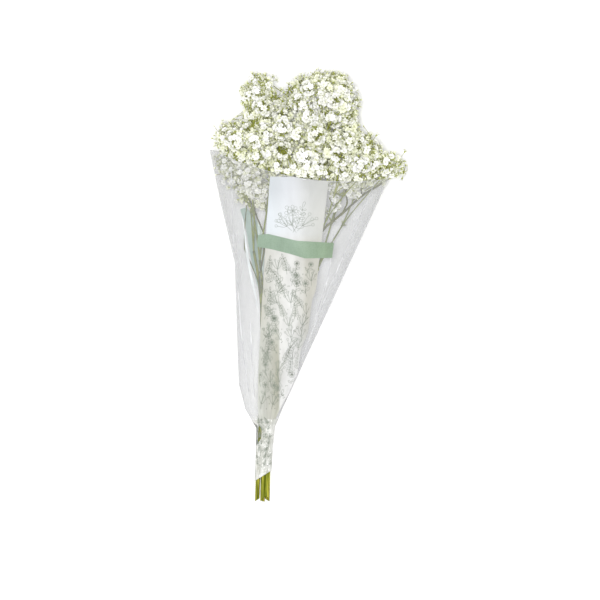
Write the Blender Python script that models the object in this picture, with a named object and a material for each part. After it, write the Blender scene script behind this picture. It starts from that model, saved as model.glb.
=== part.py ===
"""A bunch of gypsophila in a clear film sleeve, lying on its side.

Metres, +Z up. +Y runs along the bunch, from the cut ends to the flowers. The origin is under the
middle of the bunch, on the surface that it lies on. Five sprays stand in two rows, and each has one
wedge of the bunch to itself. The wedges' walls spread from the neck, so no two sprays cross.
"""

import math
import random
from collections import namedtuple

import bmesh
import bpy
from mathutils import Vector

MM = 0.001

# Stems: x at the cut end, at the neck and in the head, then y and slope of the cut
Stem = namedtuple("Stem", "row column cut_x neck_x head_x cut_y cut_slope")
STEMS = (
    Stem("back", "left", -58.2 * MM, -53.8 * MM, -66 * MM, -247.0 * MM, 0.70),
    Stem("back", "middle", -52.4 * MM, -48.6 * MM, -14 * MM, -248.6 * MM, -0.20),
    Stem("back", "right", -46.9 * MM, -43.4 * MM, 46 * MM, -247.4 * MM, -0.60),
    Stem("front", "left", -51.9 * MM, -51.2 * MM, -57 * MM, -245.2 * MM, 0.35),
    Stem("front", "right", -46.7 * MM, -46.0 * MM, 27 * MM, -243.6 * MM, -0.45),
)
CUT_Z = {"back": 3.6 * MM, "front": 8.7 * MM}
NECK_Z = {"back": 4.8 * MM, "front": 9.3 * MM}
HEAD_Z = {"back": 24 * MM, "front": 76 * MM}
CUT_Y = -249 * MM
NECK_Y = -140 * MM  # where the stems begin to spread
HEAD_Y = 120 * MM  # where their spread is measured
NECK_BEND = 12 * MM  # reach of the bend to each side of the neck
ROW_TILT = 0.18  # rise to the right of the wall between the two rows, in the head
CROWN_SHARE = 0.56  # height of the lowest fork, from the neck to the middle of the spray's flowers
STEM_R = 2.35 * MM
CROWN_R = 1.5 * MM
STEM_SIDES = 7

# Rubber band round the stems, inside the sleeve
BAND_Y = -157 * MM
BAND_WIDTH = 3 * MM
BAND_THICKNESS = 1 * MM
BAND_SIDES = 24
CLEARANCE = 0.3 * MM

# Branches, flower clusters and florets
SITE_SPACING = 22 * MM
SITE_TRIES = 9000
CLUSTER_R = 15.4 * MM
CELL_GAP = 0.2 * MM
LOBE_MARGIN = 0.7 * CLUSTER_R  # how far inside a lobe of the head a cluster's centre stays
PROBE_TILTS = (-60, -20, 20, 60)  # degrees, for the points of a cluster that are tried against the film
PROBE_TURNS = 8
FORK_SHARE = 0.4  # place of each fork, from the last one to the middle of the clusters it feeds
BRANCH_POWER = 0.3  # growth of a branch's radius with the number of clusters it feeds
BRANCH_TAPER = 0.85
MAIN_BRANCH = 3  # a branch that feeds this many clusters has four sides, and a bract at its end
TWIG_R = 0.7 * MM
HUB_R = 0.95 * MM
HUB_HALF_HEIGHT = 0.67 * MM
OUTWARD_PULL = 0.6  # how much a cluster turns from its twig's direction to face out of the head
PEDICEL = 9.2 * MM
PEDICEL_SPREAD = (0.88, 1.1)
PEDICEL_R = 0.6 * MM
FLORET_R = 7.6 * MM
VALLEY_R = 5.4 * MM  # between two petals
TIP_RISE = 3.0 * MM  # these three are measured from the top of the pedicel
VALLEY_RISE = 1.6 * MM
MIDDLE_RISE = 3.6 * MM
UPPER_TILT = math.radians(70)
LOWER_TILT = math.radians(110)
BRACT_LENGTH = 10 * MM
BRACT_WIDTH = 3 * MM
BRACT_THICKNESS = 0.8 * MM
BRACT_LEAN = 0.7  # how far a bract leans on along its branch, as it stands out from it
BRACT_WIDEST = 0.4  # share of its length
BRACT_ROOT = 0.5 * CROWN_R  # how deep it is set in the fork
SEED = 3

# Outline of the flower head in millimetres, as ellipsoids: centre, then radii
LOBES = (
    ((-54, 217, 52), (27, 30, 40)),
    ((14, 212, 64), (52, 38, 52)),
    ((-72, 156, 58), (40, 42, 54)),
    ((-10, 166, 66), (58, 46, 56)),
    ((50, 150, 60), (46, 36, 54)),
    ((90, 136, 60), (25, 22, 36)),
    ((-62, 114, 54), (26, 20, 34)),
)
HEAD_CENTRE = Vector((-10, 120, 55)) * MM

# Film sleeve, station by station from the end of the tail to the rim: the seams' x and y at the
# left and the right, the height inside, and the power of the section's curve (low is boxy)
Station = namedtuple("Station", "left_x left_y right_x right_y height power")
SLEEVE = (
    Station(-61.4 * MM, -222 * MM, -41.7 * MM, -213 * MM, 12.0 * MM, 0.45),
    Station(-59.9 * MM, -190 * MM, -40.2 * MM, -188 * MM, 12.2 * MM, 0.45),
    Station(-59.4 * MM, -164 * MM, -37.6 * MM, -162 * MM, 13.4 * MM, 0.45),
    Station(-72.0 * MM, -142 * MM, -28.0 * MM, -139 * MM, 19.0 * MM, 0.70),
    Station(-79.7 * MM, -113 * MM, -15.8 * MM, -112 * MM, 30.0 * MM, 0.90),
    Station(-82.0 * MM, -46 * MM, 10.8 * MM, -55 * MM, 53.0 * MM, 1.10),
    Station(-84.3 * MM, 28 * MM, 40.9 * MM, 10 * MM, 75.0 * MM, 1.20),
    Station(-101.6 * MM, 102 * MM, 71.0 * MM, 75 * MM, 94.0 * MM, 1.25),
    Station(-113.2 * MM, 158 * MM, 93.6 * MM, 124 * MM, 106.0 * MM, 1.30),
)
FILM = 0.8 * MM
FILM_EDGE = 0.01  # share of the sleeve's width at each seam that counts as outside
PLACE_STEPS = 14  # halvings that find a point's place along the sleeve
SLEEVE_AROUND = 28
STATION_ROWS = (2, 2, 2, 1, 2, 1, 1, 1)  # rows of facets from each station to the next
EDGE_SHARE = 0.46  # height of the side seams over the height of the section
FLAT_SHARE = 1.22  # above 1, the underside lies flat
TAIL_LIFT = 0.5 * MM  # how far the end of the tail stands off the surface the bunch lies on
TAIL_DOWN = 2  # station where the tail comes down to that surface
RIM_DIP = 16 * MM  # how far the upper layer's rim stands back from the seams


def clear_scene():
    for obj in list(bpy.data.objects):
        bpy.data.objects.remove(obj)


def material(name, colour, roughness, alpha=1.0):
    made = bpy.data.materials.new(name)
    made.use_nodes = True
    shader = made.node_tree.nodes["Principled BSDF"]
    shader.inputs["Base Color"].default_value = (*colour, 1)
    shader.inputs["Roughness"].default_value = roughness
    shader.inputs["Alpha"].default_value = alpha
    return made


def solid(name, points, faces, finish):
    """One closed mesh object, with its faces turned outwards."""
    mesh = bpy.data.meshes.new(name)
    mesh.from_pydata(points, [], faces)
    shape = bmesh.new()
    shape.from_mesh(mesh)
    bmesh.ops.recalc_face_normals(shape, faces=shape.faces)
    shape.to_mesh(mesh)
    shape.free()
    mesh.materials.append(finish)
    obj = bpy.data.objects.new(name, mesh)
    bpy.context.scene.collection.objects.link(obj)
    return obj


def between(low, high, share):
    return low + (high - low) * share


def mean(points):
    return sum(points, Vector()) / len(points)


def across(direction):
    """Two unit vectors square to the direction and to each other."""
    side = direction.orthogonal().normalized()
    return side, direction.cross(side).normalized()


def ring(centre, direction, radius, count, turn=0.0):
    side, other = across(direction)
    angles = [turn + math.tau * k / count for k in range(count)]
    return [centre + (side * math.cos(a) + other * math.sin(a)) * radius for a in angles]


def band_faces(low, high, count):
    """Triangles between two rings of points that start at the indices low and high."""
    faces = []
    for k in range(count):
        following = (k + 1) % count
        faces.append((low + k, low + following, high + following))
        faces.append((low + k, high + following, high + k))
    return faces


# Film sleeve


def sleeve_section(place):
    """The sleeve's measures at a place along it: 0 at the end of the tail, 1 more for each station."""
    first = min(int(place), len(SLEEVE) - 2)
    share = place - first
    return Station(*[between(a, b, share) for a, b in zip(SLEEVE[first], SLEEVE[first + 1])])


def sleeve_point(place, angle, film):
    """A point of the sleeve. The film is 0 on its inner face and its thickness on its outer face."""
    here = sleeve_section(place)
    centre = Vector((here.left_x + here.right_x, here.left_y + here.right_y, 0)) / 2
    chord = Vector((here.right_x - here.left_x, here.right_y - here.left_y, 0)) / 2
    chord *= 1 + film / chord.length
    edge_z = FILM + EDGE_SHARE * here.height
    bulge = abs(math.sin(angle)) ** here.power
    if math.sin(angle) >= 0:
        z = edge_z + (FILM + here.height - edge_z + film) * bulge
    else:
        low_z = FILM + TAIL_LIFT * min(1, max(0, TAIL_DOWN - place))
        z = edge_z - (edge_z - low_z + film) * min(1, FLAT_SHARE * bulge)
    widening = max(0, place - 5) / 3
    dip = RIM_DIP * widening * max(0, math.sin(angle)) ** 2
    return centre + chord * math.cos(angle) + Vector((0, -dip, z))


def build_sleeve(finish):
    """One piece of film: a loose cone, gathered at the neck into a tail round the stems."""
    places = [0.0]
    for station, rows in enumerate(STATION_ROWS):
        places += [station + (k + 1) / rows for k in range(rows)]
    angles = [math.tau * k / SLEEVE_AROUND for k in range(SLEEVE_AROUND)]
    points = [sleeve_point(p, a, film) for film in (0, FILM) for p in places for a in angles]
    outer = len(places) * SLEEVE_AROUND
    last = outer - SLEEVE_AROUND
    faces = band_faces(0, outer, SLEEVE_AROUND) + band_faces(last, outer + last, SLEEVE_AROUND)
    for row in range(len(places) - 1):
        start = row * SLEEVE_AROUND
        faces += band_faces(start, start + SLEEVE_AROUND, SLEEVE_AROUND)
        faces += band_faces(outer + start, outer + start + SLEEVE_AROUND, SLEEVE_AROUND)
    return solid("film_sleeve", points, faces, finish)


def inside_film(point):
    """Whether a point lies inside the sleeve, or beyond its rim."""
    low, high = 0.0, float(len(SLEEVE) - 1)
    for _ in range(PLACE_STEPS):
        place = (low + high) / 2
        here = sleeve_section(place)
        chord = Vector((here.right_x - here.left_x, here.right_y - here.left_y))
        offset = Vector((point.x - here.left_x, point.y - here.left_y))
        if chord.x * offset.y - chord.y * offset.x > 0:
            low = place
        else:
            high = place
    if low > len(SLEEVE) - 1 - FILM_EDGE:
        return True
    share = offset.dot(chord) / chord.length_squared
    if not FILM_EDGE < share < 1 - FILM_EDGE:
        return False
    angle = math.acos(2 * share - 1)
    return sleeve_point(place, -angle, 0).z < point.z < sleeve_point(place, angle, 0).z


# Stems, and the wedge of the bunch round each of them


def axis_point(stem, y):
    """A point of a stem's axis: straight to the neck, round the bend, and straight on into the head."""

    def below(at):
        share = (at - CUT_Y) / (NECK_Y - CUT_Y)
        x = between(stem.cut_x, stem.neck_x, share)
        return Vector((x, at, between(CUT_Z[stem.row], NECK_Z[stem.row], share)))

    def above(at):
        share = (at - NECK_Y) / (HEAD_Y - NECK_Y)
        x = between(stem.neck_x, stem.head_x, share)
        return Vector((x, at, between(NECK_Z[stem.row], HEAD_Z[stem.row], share)))

    share = (y - NECK_Y + NECK_BEND) / (2 * NECK_BEND)
    if share <= 0:
        return below(y)
    if share >= 1:
        return above(y)
    start, end = below(NECK_Y - NECK_BEND), above(NECK_Y + NECK_BEND)
    return start.lerp(above(NECK_Y), share).lerp(above(NECK_Y).lerp(end, share), share)


def room_from_wall(offset, neck, head, y):
    """Distance of a point from a wall that runs from the neck to the head, square to the wall."""
    slope = (head - neck) / (HEAD_Y - NECK_Y)
    return (offset - neck - slope * (y - NECK_Y)) / math.hypot(1, slope)


def wall_room(stem, point):
    """How far a point stands inside a stem's wedge."""
    height = point.z - ROW_TILT * (point.x - HEAD_CENTRE.x)
    row_wall = sum(NECK_Z.values()) / 2, sum(HEAD_Z.values()) / 2
    above = room_from_wall(height, *row_wall, point.y) / math.hypot(1, ROW_TILT)
    rooms = [above if stem.row == "front" else -above]
    row = [other for other in STEMS if other.row == stem.row]
    number = row.index(stem)
    for side in (-1, 1):
        if 0 <= number + side < len(row):
            other = row[number + side]
            neck, head = (stem.neck_x + other.neck_x) / 2, (stem.head_x + other.head_x) / 2
            rooms.append(-side * room_from_wall(point.x, neck, head, point.y))
    return min(rooms)


def in_head(point):
    """Whether a cluster's centre here keeps its florets inside the outline of the head."""
    for centre, radii in LOBES:
        shares = [(p - c * MM) / (r * MM - LOBE_MARGIN) for p, c, r in zip(point, centre, radii)]
        if sum(s * s for s in shares) < 1:
            return True
    return False


def cluster_fits(stem, point):
    """Whether a cluster here keeps to its wedge, to the outline of the head and clear of the film."""
    if wall_room(stem, point) < CLUSTER_R + CELL_GAP or point.z < CLUSTER_R + FILM + CELL_GAP:
        return False
    if not in_head(point):
        return False
    for tilt in PROBE_TILTS:
        reach = CLUSTER_R * math.cos(math.radians(tilt))
        level = point + Vector((0, 0, CLUSTER_R * math.sin(math.radians(tilt))))
        for k in range(PROBE_TURNS):
            turn = math.tau * k / PROBE_TURNS
            if not inside_film(level + Vector((math.cos(turn), math.sin(turn), 0)) * reach):
                return False
    return True


def cluster_sites(stem, draw):
    """Evenly spread centres for a spray's flower clusters: each is the freest place that is left."""
    places = []
    for _ in range(SITE_TRIES):
        centre, radii = draw.choice(LOBES)
        point = Vector([c + draw.uniform(-r, r) for c, r in zip(centre, radii)]) * MM
        if cluster_fits(stem, point):
            places.append(point)
    sites = [max(places, key=lambda place: place.y)]
    rooms = [(place - sites[0]).length for place in places]
    while max(rooms) > SITE_SPACING:
        sites.append(places[rooms.index(max(rooms))])
        rooms = [min(room, (place - sites[-1]).length) for room, place in zip(rooms, places)]
    return sites


def build_tube(name, path, radii, sides, finish):
    """A tapering round bar along a path."""
    points, faces = [], []
    for k, (centre, radius) in enumerate(zip(path, radii)):
        before, after = path[max(k - 1, 0)], path[min(k + 1, len(path) - 1)]
        points += ring(centre, (after - before).normalized(), radius, sides)
        if k:
            faces += band_faces(k * sides - sides, k * sides, sides)
    last = len(points) - sides
    faces += [(0, k, k + 1) for k in range(1, sides - 1)]
    faces += [(last, last + k + 1, last + k) for k in range(1, sides - 1)]
    return solid(name, points, faces, finish)


def build_stem(name, stem, crown, finish):
    """The stem's main axis, with its lower end cut on the slant as a knife leaves it."""
    heights = [stem.cut_y, between(stem.cut_y, NECK_Y, 0.5)]
    heights += [NECK_Y + NECK_BEND * step for step in (-1, 0, 1)]
    heights += [between(NECK_Y, crown.y, 0.5), crown.y]
    path = [axis_point(stem, y) for y in heights]
    radii = [between(STEM_R, CROWN_R, max(0, (y - NECK_Y) / (crown.y - NECK_Y))) for y in heights]
    bar = build_tube(name, path, radii, STEM_SIDES, finish)
    for vertex in bar.data.vertices[:STEM_SIDES]:
        vertex.co.y += (vertex.co.x - path[0].x) * stem.cut_slope
    return bar


def build_band(finish):
    """The rubber band: the outline of the stems, drawn round them at its clearance."""
    points = []
    for reach in (STEM_R + CLEARANCE, STEM_R + CLEARANCE + BAND_THICKNESS):
        for y in (BAND_Y - BAND_WIDTH / 2, BAND_Y + BAND_WIDTH / 2):
            centres = [axis_point(stem, y) for stem in STEMS]
            for k in range(BAND_SIDES):
                turn = math.tau * (k + 0.5) / BAND_SIDES
                out = Vector((math.cos(turn), 0, math.sin(turn)))
                points.append(max(centres, key=out.dot) + out * reach)
    rings = [BAND_SIDES * k for k in range(4)]
    faces = []
    for low, high in ((0, 1), (1, 3), (3, 2), (2, 0)):
        faces += band_faces(rings[low], rings[high], BAND_SIDES)
    return solid("rubber_band", points, faces, finish)


# Branches, clusters and florets


def split_in_two(node, sites):
    """Two groups of sites, by which of the two most widely parted directions each lies nearer to."""
    rays = [(site - node).normalized() for site in sites]
    pairs = [(a.dot(b), i, j) for i, a in enumerate(rays) for j, b in enumerate(rays) if i < j]
    _, first, second = min(pairs)
    groups = ([], [])
    for site, ray in zip(sites, rays):
        groups[ray.dot(rays[second]) > ray.dot(rays[first])].append(site)
    return groups


def branch_out(start, sites, branches, twigs):
    """Forks again and again from a start, until each site has a twig of its own."""
    if len(sites) == 1:
        twigs.append((start, sites[0]))
        return
    node = start.lerp(mean(sites), FORK_SHARE)
    branches.append((start, node, len(sites)))
    for group in split_in_two(node, sites):
        branch_out(node, group, branches, twigs)


def build_branch(name, start, end, carried, finish):
    """A branch between two forks. It starts a little below the first, inside what it grows from."""
    radius = TWIG_R * carried**BRANCH_POWER
    heading = (end - start).normalized()
    sides = 4 if carried >= MAIN_BRANCH else 3
    radii = [radius, radius * BRANCH_TAPER]
    return build_tube(name, [start - heading * radius, end], radii, sides, finish)


def build_bract(name, node, heading, draw, finish):
    """A narrow pointed leaf at a fork, standing out from it."""
    side, other = across(heading)
    turn = draw.uniform(0, math.tau)
    along = (heading * BRACT_LEAN + side * math.cos(turn) + other * math.sin(turn)).normalized()
    flat, up = across(along)
    middle = node + along * BRACT_LENGTH * BRACT_WIDEST
    points = [node - along * BRACT_ROOT, node + along * BRACT_LENGTH]
    points += [middle + flat * BRACT_WIDTH / 2, middle + up * BRACT_THICKNESS / 2]
    points += [middle - flat * BRACT_WIDTH / 2, middle - up * BRACT_THICKNESS / 2]
    faces = [(end, 2 + k, 2 + (k + 1) % 4) for end in (0, 1) for k in range(4)]
    return solid(name, points, faces, finish)


def joined_rings(points, low, high, centre, axis):
    """Triangles between two rings of unlike counts, in order of angle round an axis."""
    side, other = across(axis)

    def by_angle(indices):
        rated = []
        for index in indices:
            offset = points[index] - centre
            rated.append((math.atan2(offset.dot(other), offset.dot(side)) % math.tau, index))
        rated.sort()
        return rated + [(angle + math.tau, index) for angle, index in rated[:1]]

    low, high = by_angle(low), by_angle(high)
    faces, i, j = [], 0, 0
    while i + 1 < len(low) or j + 1 < len(high):
        if j + 1 == len(high) or (i + 1 < len(low) and low[i + 1][0] <= high[j + 1][0]):
            faces.append((low[i][1], low[i + 1][1], high[j][1]))
            i += 1
        else:
            faces.append((low[i][1], high[j + 1][1], high[j][1]))
            j += 1
    return faces


def add_floret(points, faces, petals, base, direction, turn, length):
    """A pedicel that grows from a triangle of the hub, and five spread petals with a raised middle."""
    root = mean([points[k] for k in base])
    neck = root + direction * length
    collar = []
    for k in base:
        offset = points[k] - root
        offset -= direction * offset.dot(direction)
        collar.append(len(points))
        points.append(neck + offset.normalized() * PEDICEL_R)
    for k in range(3):
        following = (k + 1) % 3
        faces.append((base[k], base[following], collar[following]))
        faces.append((base[k], collar[following], collar[k]))
    side, other = across(direction)
    star = []
    for k in range(10):
        angle = turn + math.tau * k / 10
        spoke = side * math.cos(angle) + other * math.sin(angle)
        reach, rise = (FLORET_R, TIP_RISE) if k % 2 else (VALLEY_R, VALLEY_RISE)
        star.append(len(points))
        points.append(neck + spoke * reach + direction * rise)
    first = len(faces)
    faces += joined_rings(points, collar, star, neck, direction)
    middle = len(points)
    points.append(neck + direction * MIDDLE_RISE)
    faces += [(star[k], star[(k + 1) % 10], middle) for k in range(10)]
    petals += range(first, len(faces))


def leaning(facing, away, tilt):
    """The facing direction, tilted away to one side."""
    sideways = (away - facing * away.dot(facing)).normalized()
    return facing * math.cos(tilt) + sideways * math.sin(tilt)


def build_cluster(name, start, site, draw, branch_finish, petal_finish):
    """A twig that ends in an eight-faced hub, with a floret on each of the hub's other seven faces."""
    heading = (site - start).normalized()
    facing = (heading + (site - HEAD_CENTRE).normalized() * OUTWARD_PULL).normalized()
    points = ring(start - heading * TWIG_R, heading, TWIG_R, 3, draw.uniform(0, math.tau))
    low_centre = site - facing * HUB_HALF_HEIGHT
    for point in points[:3]:
        offset = point - start
        offset -= facing * offset.dot(facing)
        points.append(low_centre + offset.normalized() * HUB_R)
    for k in range(3):
        edge = (points[3 + k] + points[3 + (k + 1) % 3]) / 2 - low_centre
        points.append(site + facing * HUB_HALF_HEIGHT + edge.normalized() * HUB_R)
    faces, petals = [(0, 1, 2)] + band_faces(0, 3, 3), []
    places = [((6, 7, 8), 0)]
    places += [((3 + k, 6 + k, 6 + (k - 1) % 3), UPPER_TILT) for k in range(3)]
    places += [((3 + k, 3 + (k + 1) % 3, 6 + k), LOWER_TILT) for k in range(3)]
    for base, tilt in places:
        away = mean([points[k] for k in base]) - site
        direction = leaning(facing, away, tilt)
        length = PEDICEL * draw.uniform(*PEDICEL_SPREAD)
        add_floret(points, faces, petals, base, direction, draw.uniform(0, 1), length)
    cluster = solid(name, points, faces, branch_finish)
    cluster.data.materials.append(petal_finish)
    for k in petals:
        cluster.data.polygons[k].material_index = 1
    return cluster


def keep_largest(body):
    """Drops loose scraps and fills sealed hollows: only the largest shell of faces stays."""
    shape = bmesh.new()
    shape.from_mesh(body.data)
    bmesh.ops.triangulate(shape, faces=shape.faces)
    shells, waiting = [], set(shape.faces)
    while waiting:
        shell, front = [], [waiting.pop()]
        while front:
            face = front.pop()
            shell.append(face)
            plain_edges = [edge for edge in face.edges if len(edge.link_faces) == 2]
            near = {other for edge in plain_edges for other in edge.link_faces} & waiting
            waiting -= near
            front += near
        shells.append(shell)
    shells.sort(key=len)
    scraps = [face for shell in shells[:-1] for face in shell]
    bmesh.ops.delete(shape, geom=scraps, context="FACES")
    shape.to_mesh(body.data)
    shape.free()


def join(pieces):
    """One closed body from many that overlap: a Boolean union on the collection that holds them."""
    body = pieces[0]
    repeats = bpy.data.collections.new("repeats")
    for piece in pieces[1:]:
        repeats.objects.link(piece)
    union = body.modifiers.new("union", "BOOLEAN")
    union.operation = "UNION"
    union.solver = "MANIFOLD"
    union.material_mode = "TRANSFER"
    union.operand_type = "COLLECTION"
    union.collection = repeats
    bpy.context.view_layer.objects.active = body
    bpy.ops.object.modifier_apply(modifier=union.name)
    for piece in pieces[1:]:
        bpy.data.objects.remove(piece)
    bpy.data.collections.remove(repeats)
    keep_largest(body)
    return body


def build_spray(stem, draw, stem_finish, branch_finish, petal_finish):
    """One stem from its cut end up, with its branches, bracts and flower clusters, as one body."""
    sites = cluster_sites(stem, draw)
    crown = axis_point(stem, between(NECK_Y, mean(sites).y, CROWN_SHARE))
    branches, twigs = [], []
    for group in split_in_two(crown, sites):
        branch_out(crown, group, branches, twigs)
    pieces = [build_stem(f"spray_{stem.row}_{stem.column}", stem, crown, stem_finish)]
    for start, end, carried in branches:
        pieces.append(build_branch("branch", start, end, carried, branch_finish))
        if carried >= MAIN_BRANCH:
            pieces.append(build_bract("bract", end, (end - start).normalized(), draw, branch_finish))
    for start, site in twigs:
        pieces.append(build_cluster("cluster", start, site, draw, branch_finish, petal_finish))
    return join(pieces)


def main():
    clear_scene()
    stem_finish = material("stem", (0.20, 0.26, 0.03), 0.5)
    branch_finish = material("branch", (0.30, 0.38, 0.10), 0.6)
    petal_finish = material("petal", (0.88, 0.89, 0.80), 0.7)
    build_sleeve(material("film", (0.86, 0.87, 0.88), 0.15, 0.3))
    build_band(material("rubber", (0.62, 0.50, 0.28), 0.7))
    draw = random.Random(SEED)
    for stem in STEMS:
        build_spray(stem, draw, stem_finish, branch_finish, petal_finish)


main()
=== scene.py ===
"""Looks for a bunch of gypsophila in a printed film sleeve, lying on a pale floor, seen from above."""

import math
import random
from collections import namedtuple

import bpy
import numpy as np
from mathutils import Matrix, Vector


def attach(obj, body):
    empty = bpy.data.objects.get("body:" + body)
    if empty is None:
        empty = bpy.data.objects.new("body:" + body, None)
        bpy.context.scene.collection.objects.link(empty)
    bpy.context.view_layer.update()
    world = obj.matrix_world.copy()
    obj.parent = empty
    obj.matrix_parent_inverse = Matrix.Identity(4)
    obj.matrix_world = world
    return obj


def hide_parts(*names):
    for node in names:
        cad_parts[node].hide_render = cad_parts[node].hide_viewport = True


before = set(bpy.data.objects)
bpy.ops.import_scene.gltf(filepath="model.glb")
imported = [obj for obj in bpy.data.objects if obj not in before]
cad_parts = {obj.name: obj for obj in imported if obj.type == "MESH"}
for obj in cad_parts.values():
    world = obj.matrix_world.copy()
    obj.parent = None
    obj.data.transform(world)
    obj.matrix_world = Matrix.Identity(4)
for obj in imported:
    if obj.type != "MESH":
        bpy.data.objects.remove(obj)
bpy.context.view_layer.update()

MM = 0.001

# The same stems, head and sleeve as the solids have

Stem = namedtuple("Stem", "row column cut_x neck_x head_x cut_y cut_slope")
STEMS = [
    Stem(row, column, *[place * MM for place in places], slope)
    for row, column, places, slope in (
        ("back", "left", (-58.2, -53.8, -66, -247.0), 0.70),
        ("back", "middle", (-52.4, -48.6, -14, -248.6), -0.20),
        ("back", "right", (-46.9, -43.4, 46, -247.4), -0.60),
        ("front", "left", (-51.9, -51.2, -57, -245.2), 0.35),
        ("front", "right", (-46.7, -46.0, 27, -243.6), -0.45),
    )
]
CUT_Z = {"back": 3.6 * MM, "front": 8.7 * MM}
NECK_Z = {"back": 4.8 * MM, "front": 9.3 * MM}
HEAD_Z = {"back": 24 * MM, "front": 76 * MM}
CUT_Y = -249 * MM
NECK_Y = -140 * MM
HEAD_Y = 120 * MM
NECK_BEND = 12 * MM
ROW_TILT = 0.18  # rise to the right of the wall between the two rows
CROWN_SHARE = 0.56  # of the way from the neck to the flowers, where a stem first forks
STEM_R = 2.35 * MM
CROWN_R = 1.5 * MM
SITE_SPACING = 22 * MM
SITE_TRIES = 9000
CLUSTER_R = 15.4 * MM
CELL_GAP = 0.2 * MM
FORK_SHARE = 0.4  # of the way from a fork to the middle of the clusters beyond it
BRANCH_POWER = 0.3  # of the clusters carried, for a branch's radius
TWIG_R = 0.7 * MM
HUB_R = 0.95 * MM
HUB_HALF_HEIGHT = 0.67 * MM
OUTWARD_PULL = 0.6  # how far a cluster turns away from the head's centre
PEDICEL = 9.2 * MM
PEDICEL_SPREAD = (0.88, 1.1)
UPPER_TILT = math.radians(70)
LOWER_TILT = math.radians(110)
SEED = 3
LOBES = (  # of the head: centre and radii, in millimetres
    ((-54, 217, 52), (27, 30, 40)),
    ((14, 212, 64), (52, 38, 52)),
    ((-72, 156, 58), (40, 42, 54)),
    ((-10, 166, 66), (58, 46, 56)),
    ((50, 150, 60), (46, 36, 54)),
    ((90, 136, 60), (25, 22, 36)),
    ((-62, 114, 54), (26, 20, 34)),
)
HEAD_CENTRE = Vector((-10, 120, 55)) * MM

# The film's sections from the tail's end to the rim. A place along it is counted in sections.
Station = namedtuple("Station", "left_x left_y right_x right_y height power")
SLEEVE = [
    Station(*[size * MM for size in sizes], power)
    for *sizes, power in (
        (-61.4, -222, -41.7, -213, 12.0, 0.45),
        (-59.9, -190, -40.2, -188, 12.2, 0.45),
        (-59.4, -164, -37.6, -162, 13.4, 0.45),
        (-72.0, -142, -28.0, -139, 19.0, 0.70),
        (-79.7, -113, -15.8, -112, 30.0, 0.90),
        (-82.0, -46, 10.8, -55, 53.0, 1.10),
        (-84.3, 28, 40.9, 10, 75.0, 1.20),
        (-101.6, 102, 71.0, 75, 94.0, 1.25),
        (-113.2, 158, 93.6, 124, 106.0, 1.30),
    )
]
LAST = len(SLEEVE) - 1
FILM = 0.8 * MM
EDGE_SHARE = 0.46  # height of the film's side edges over its own
FLAT_SHARE = 1.22  # above 1, which flattens the underside
TAIL_LIFT = 0.5 * MM
TAIL_DOWN = 2  # the place where the lifted tail is down
RIM_DIP = 16 * MM  # how far the rim is cut back in the middle
DIP_FROM = 5  # the place where that begins
DIP_LENGTH = 3


def between(low, high, share):
    return low + (high - low) * share


def mean(points):
    return sum(points, Vector()) / len(points)


def across(direction):
    """Two unit vectors square to the direction and to each other."""
    side = direction.orthogonal().normalized()
    return side, direction.cross(side).normalized()


def ring(centre, direction, radius, count, turn):
    side, other = across(direction)
    angles = [turn + math.tau * k / count for k in range(count)]
    return [centre + (side * math.cos(a) + other * math.sin(a)) * radius for a in angles]


def sleeve_section(place):
    first = min(int(place), LAST - 1)
    share = place - first
    return Station(*[between(a, b, share) for a, b in zip(SLEEVE[first], SLEEVE[first + 1])])


def film_level(place, angle):
    """Height of the smooth film's inner face at a place along it and an angle round it."""
    here = sleeve_section(place)
    edge_z = FILM + EDGE_SHARE * here.height
    bulge = abs(math.sin(angle)) ** here.power
    if math.sin(angle) >= 0:
        return edge_z + (FILM + here.height - edge_z) * bulge
    low_z = FILM + TAIL_LIFT * min(1, max(0, TAIL_DOWN - place))
    return edge_z - (edge_z - low_z) * min(1, FLAT_SHARE * bulge)


def inside_film(point):
    low, high = 0.0, float(LAST)
    for _ in range(14):
        place = (low + high) / 2
        here = sleeve_section(place)
        chord = Vector((here.right_x - here.left_x, here.right_y - here.left_y))
        offset = Vector((point.x - here.left_x, point.y - here.left_y))
        if chord.x * offset.y - chord.y * offset.x > 0:
            low = place
        else:
            high = place
    if low > LAST - 0.01:
        return True
    share = offset.dot(chord) / chord.length_squared
    if not 0.01 < share < 0.99:
        return False
    angle = math.acos(2 * share - 1)
    return film_level(place, -angle) < point.z < film_level(place, angle)


def axis_point(stem, y):
    """A point of a stem's axis: straight to the neck, round the bend, and straight on into the head."""

    def below(at):
        share = (at - CUT_Y) / (NECK_Y - CUT_Y)
        x = between(stem.cut_x, stem.neck_x, share)
        return Vector((x, at, between(CUT_Z[stem.row], NECK_Z[stem.row], share)))

    def above(at):
        share = (at - NECK_Y) / (HEAD_Y - NECK_Y)
        x = between(stem.neck_x, stem.head_x, share)
        return Vector((x, at, between(NECK_Z[stem.row], HEAD_Z[stem.row], share)))

    share = (y - NECK_Y + NECK_BEND) / (2 * NECK_BEND)
    if share <= 0:
        return below(y)
    if share >= 1:
        return above(y)
    start, end = below(NECK_Y - NECK_BEND), above(NECK_Y + NECK_BEND)
    return start.lerp(above(NECK_Y), share).lerp(above(NECK_Y).lerp(end, share), share)


def room_from_wall(offset, neck, head, y):
    slope = (head - neck) / (HEAD_Y - NECK_Y)
    return (offset - neck - slope * (y - NECK_Y)) / math.hypot(1, slope)


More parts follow.
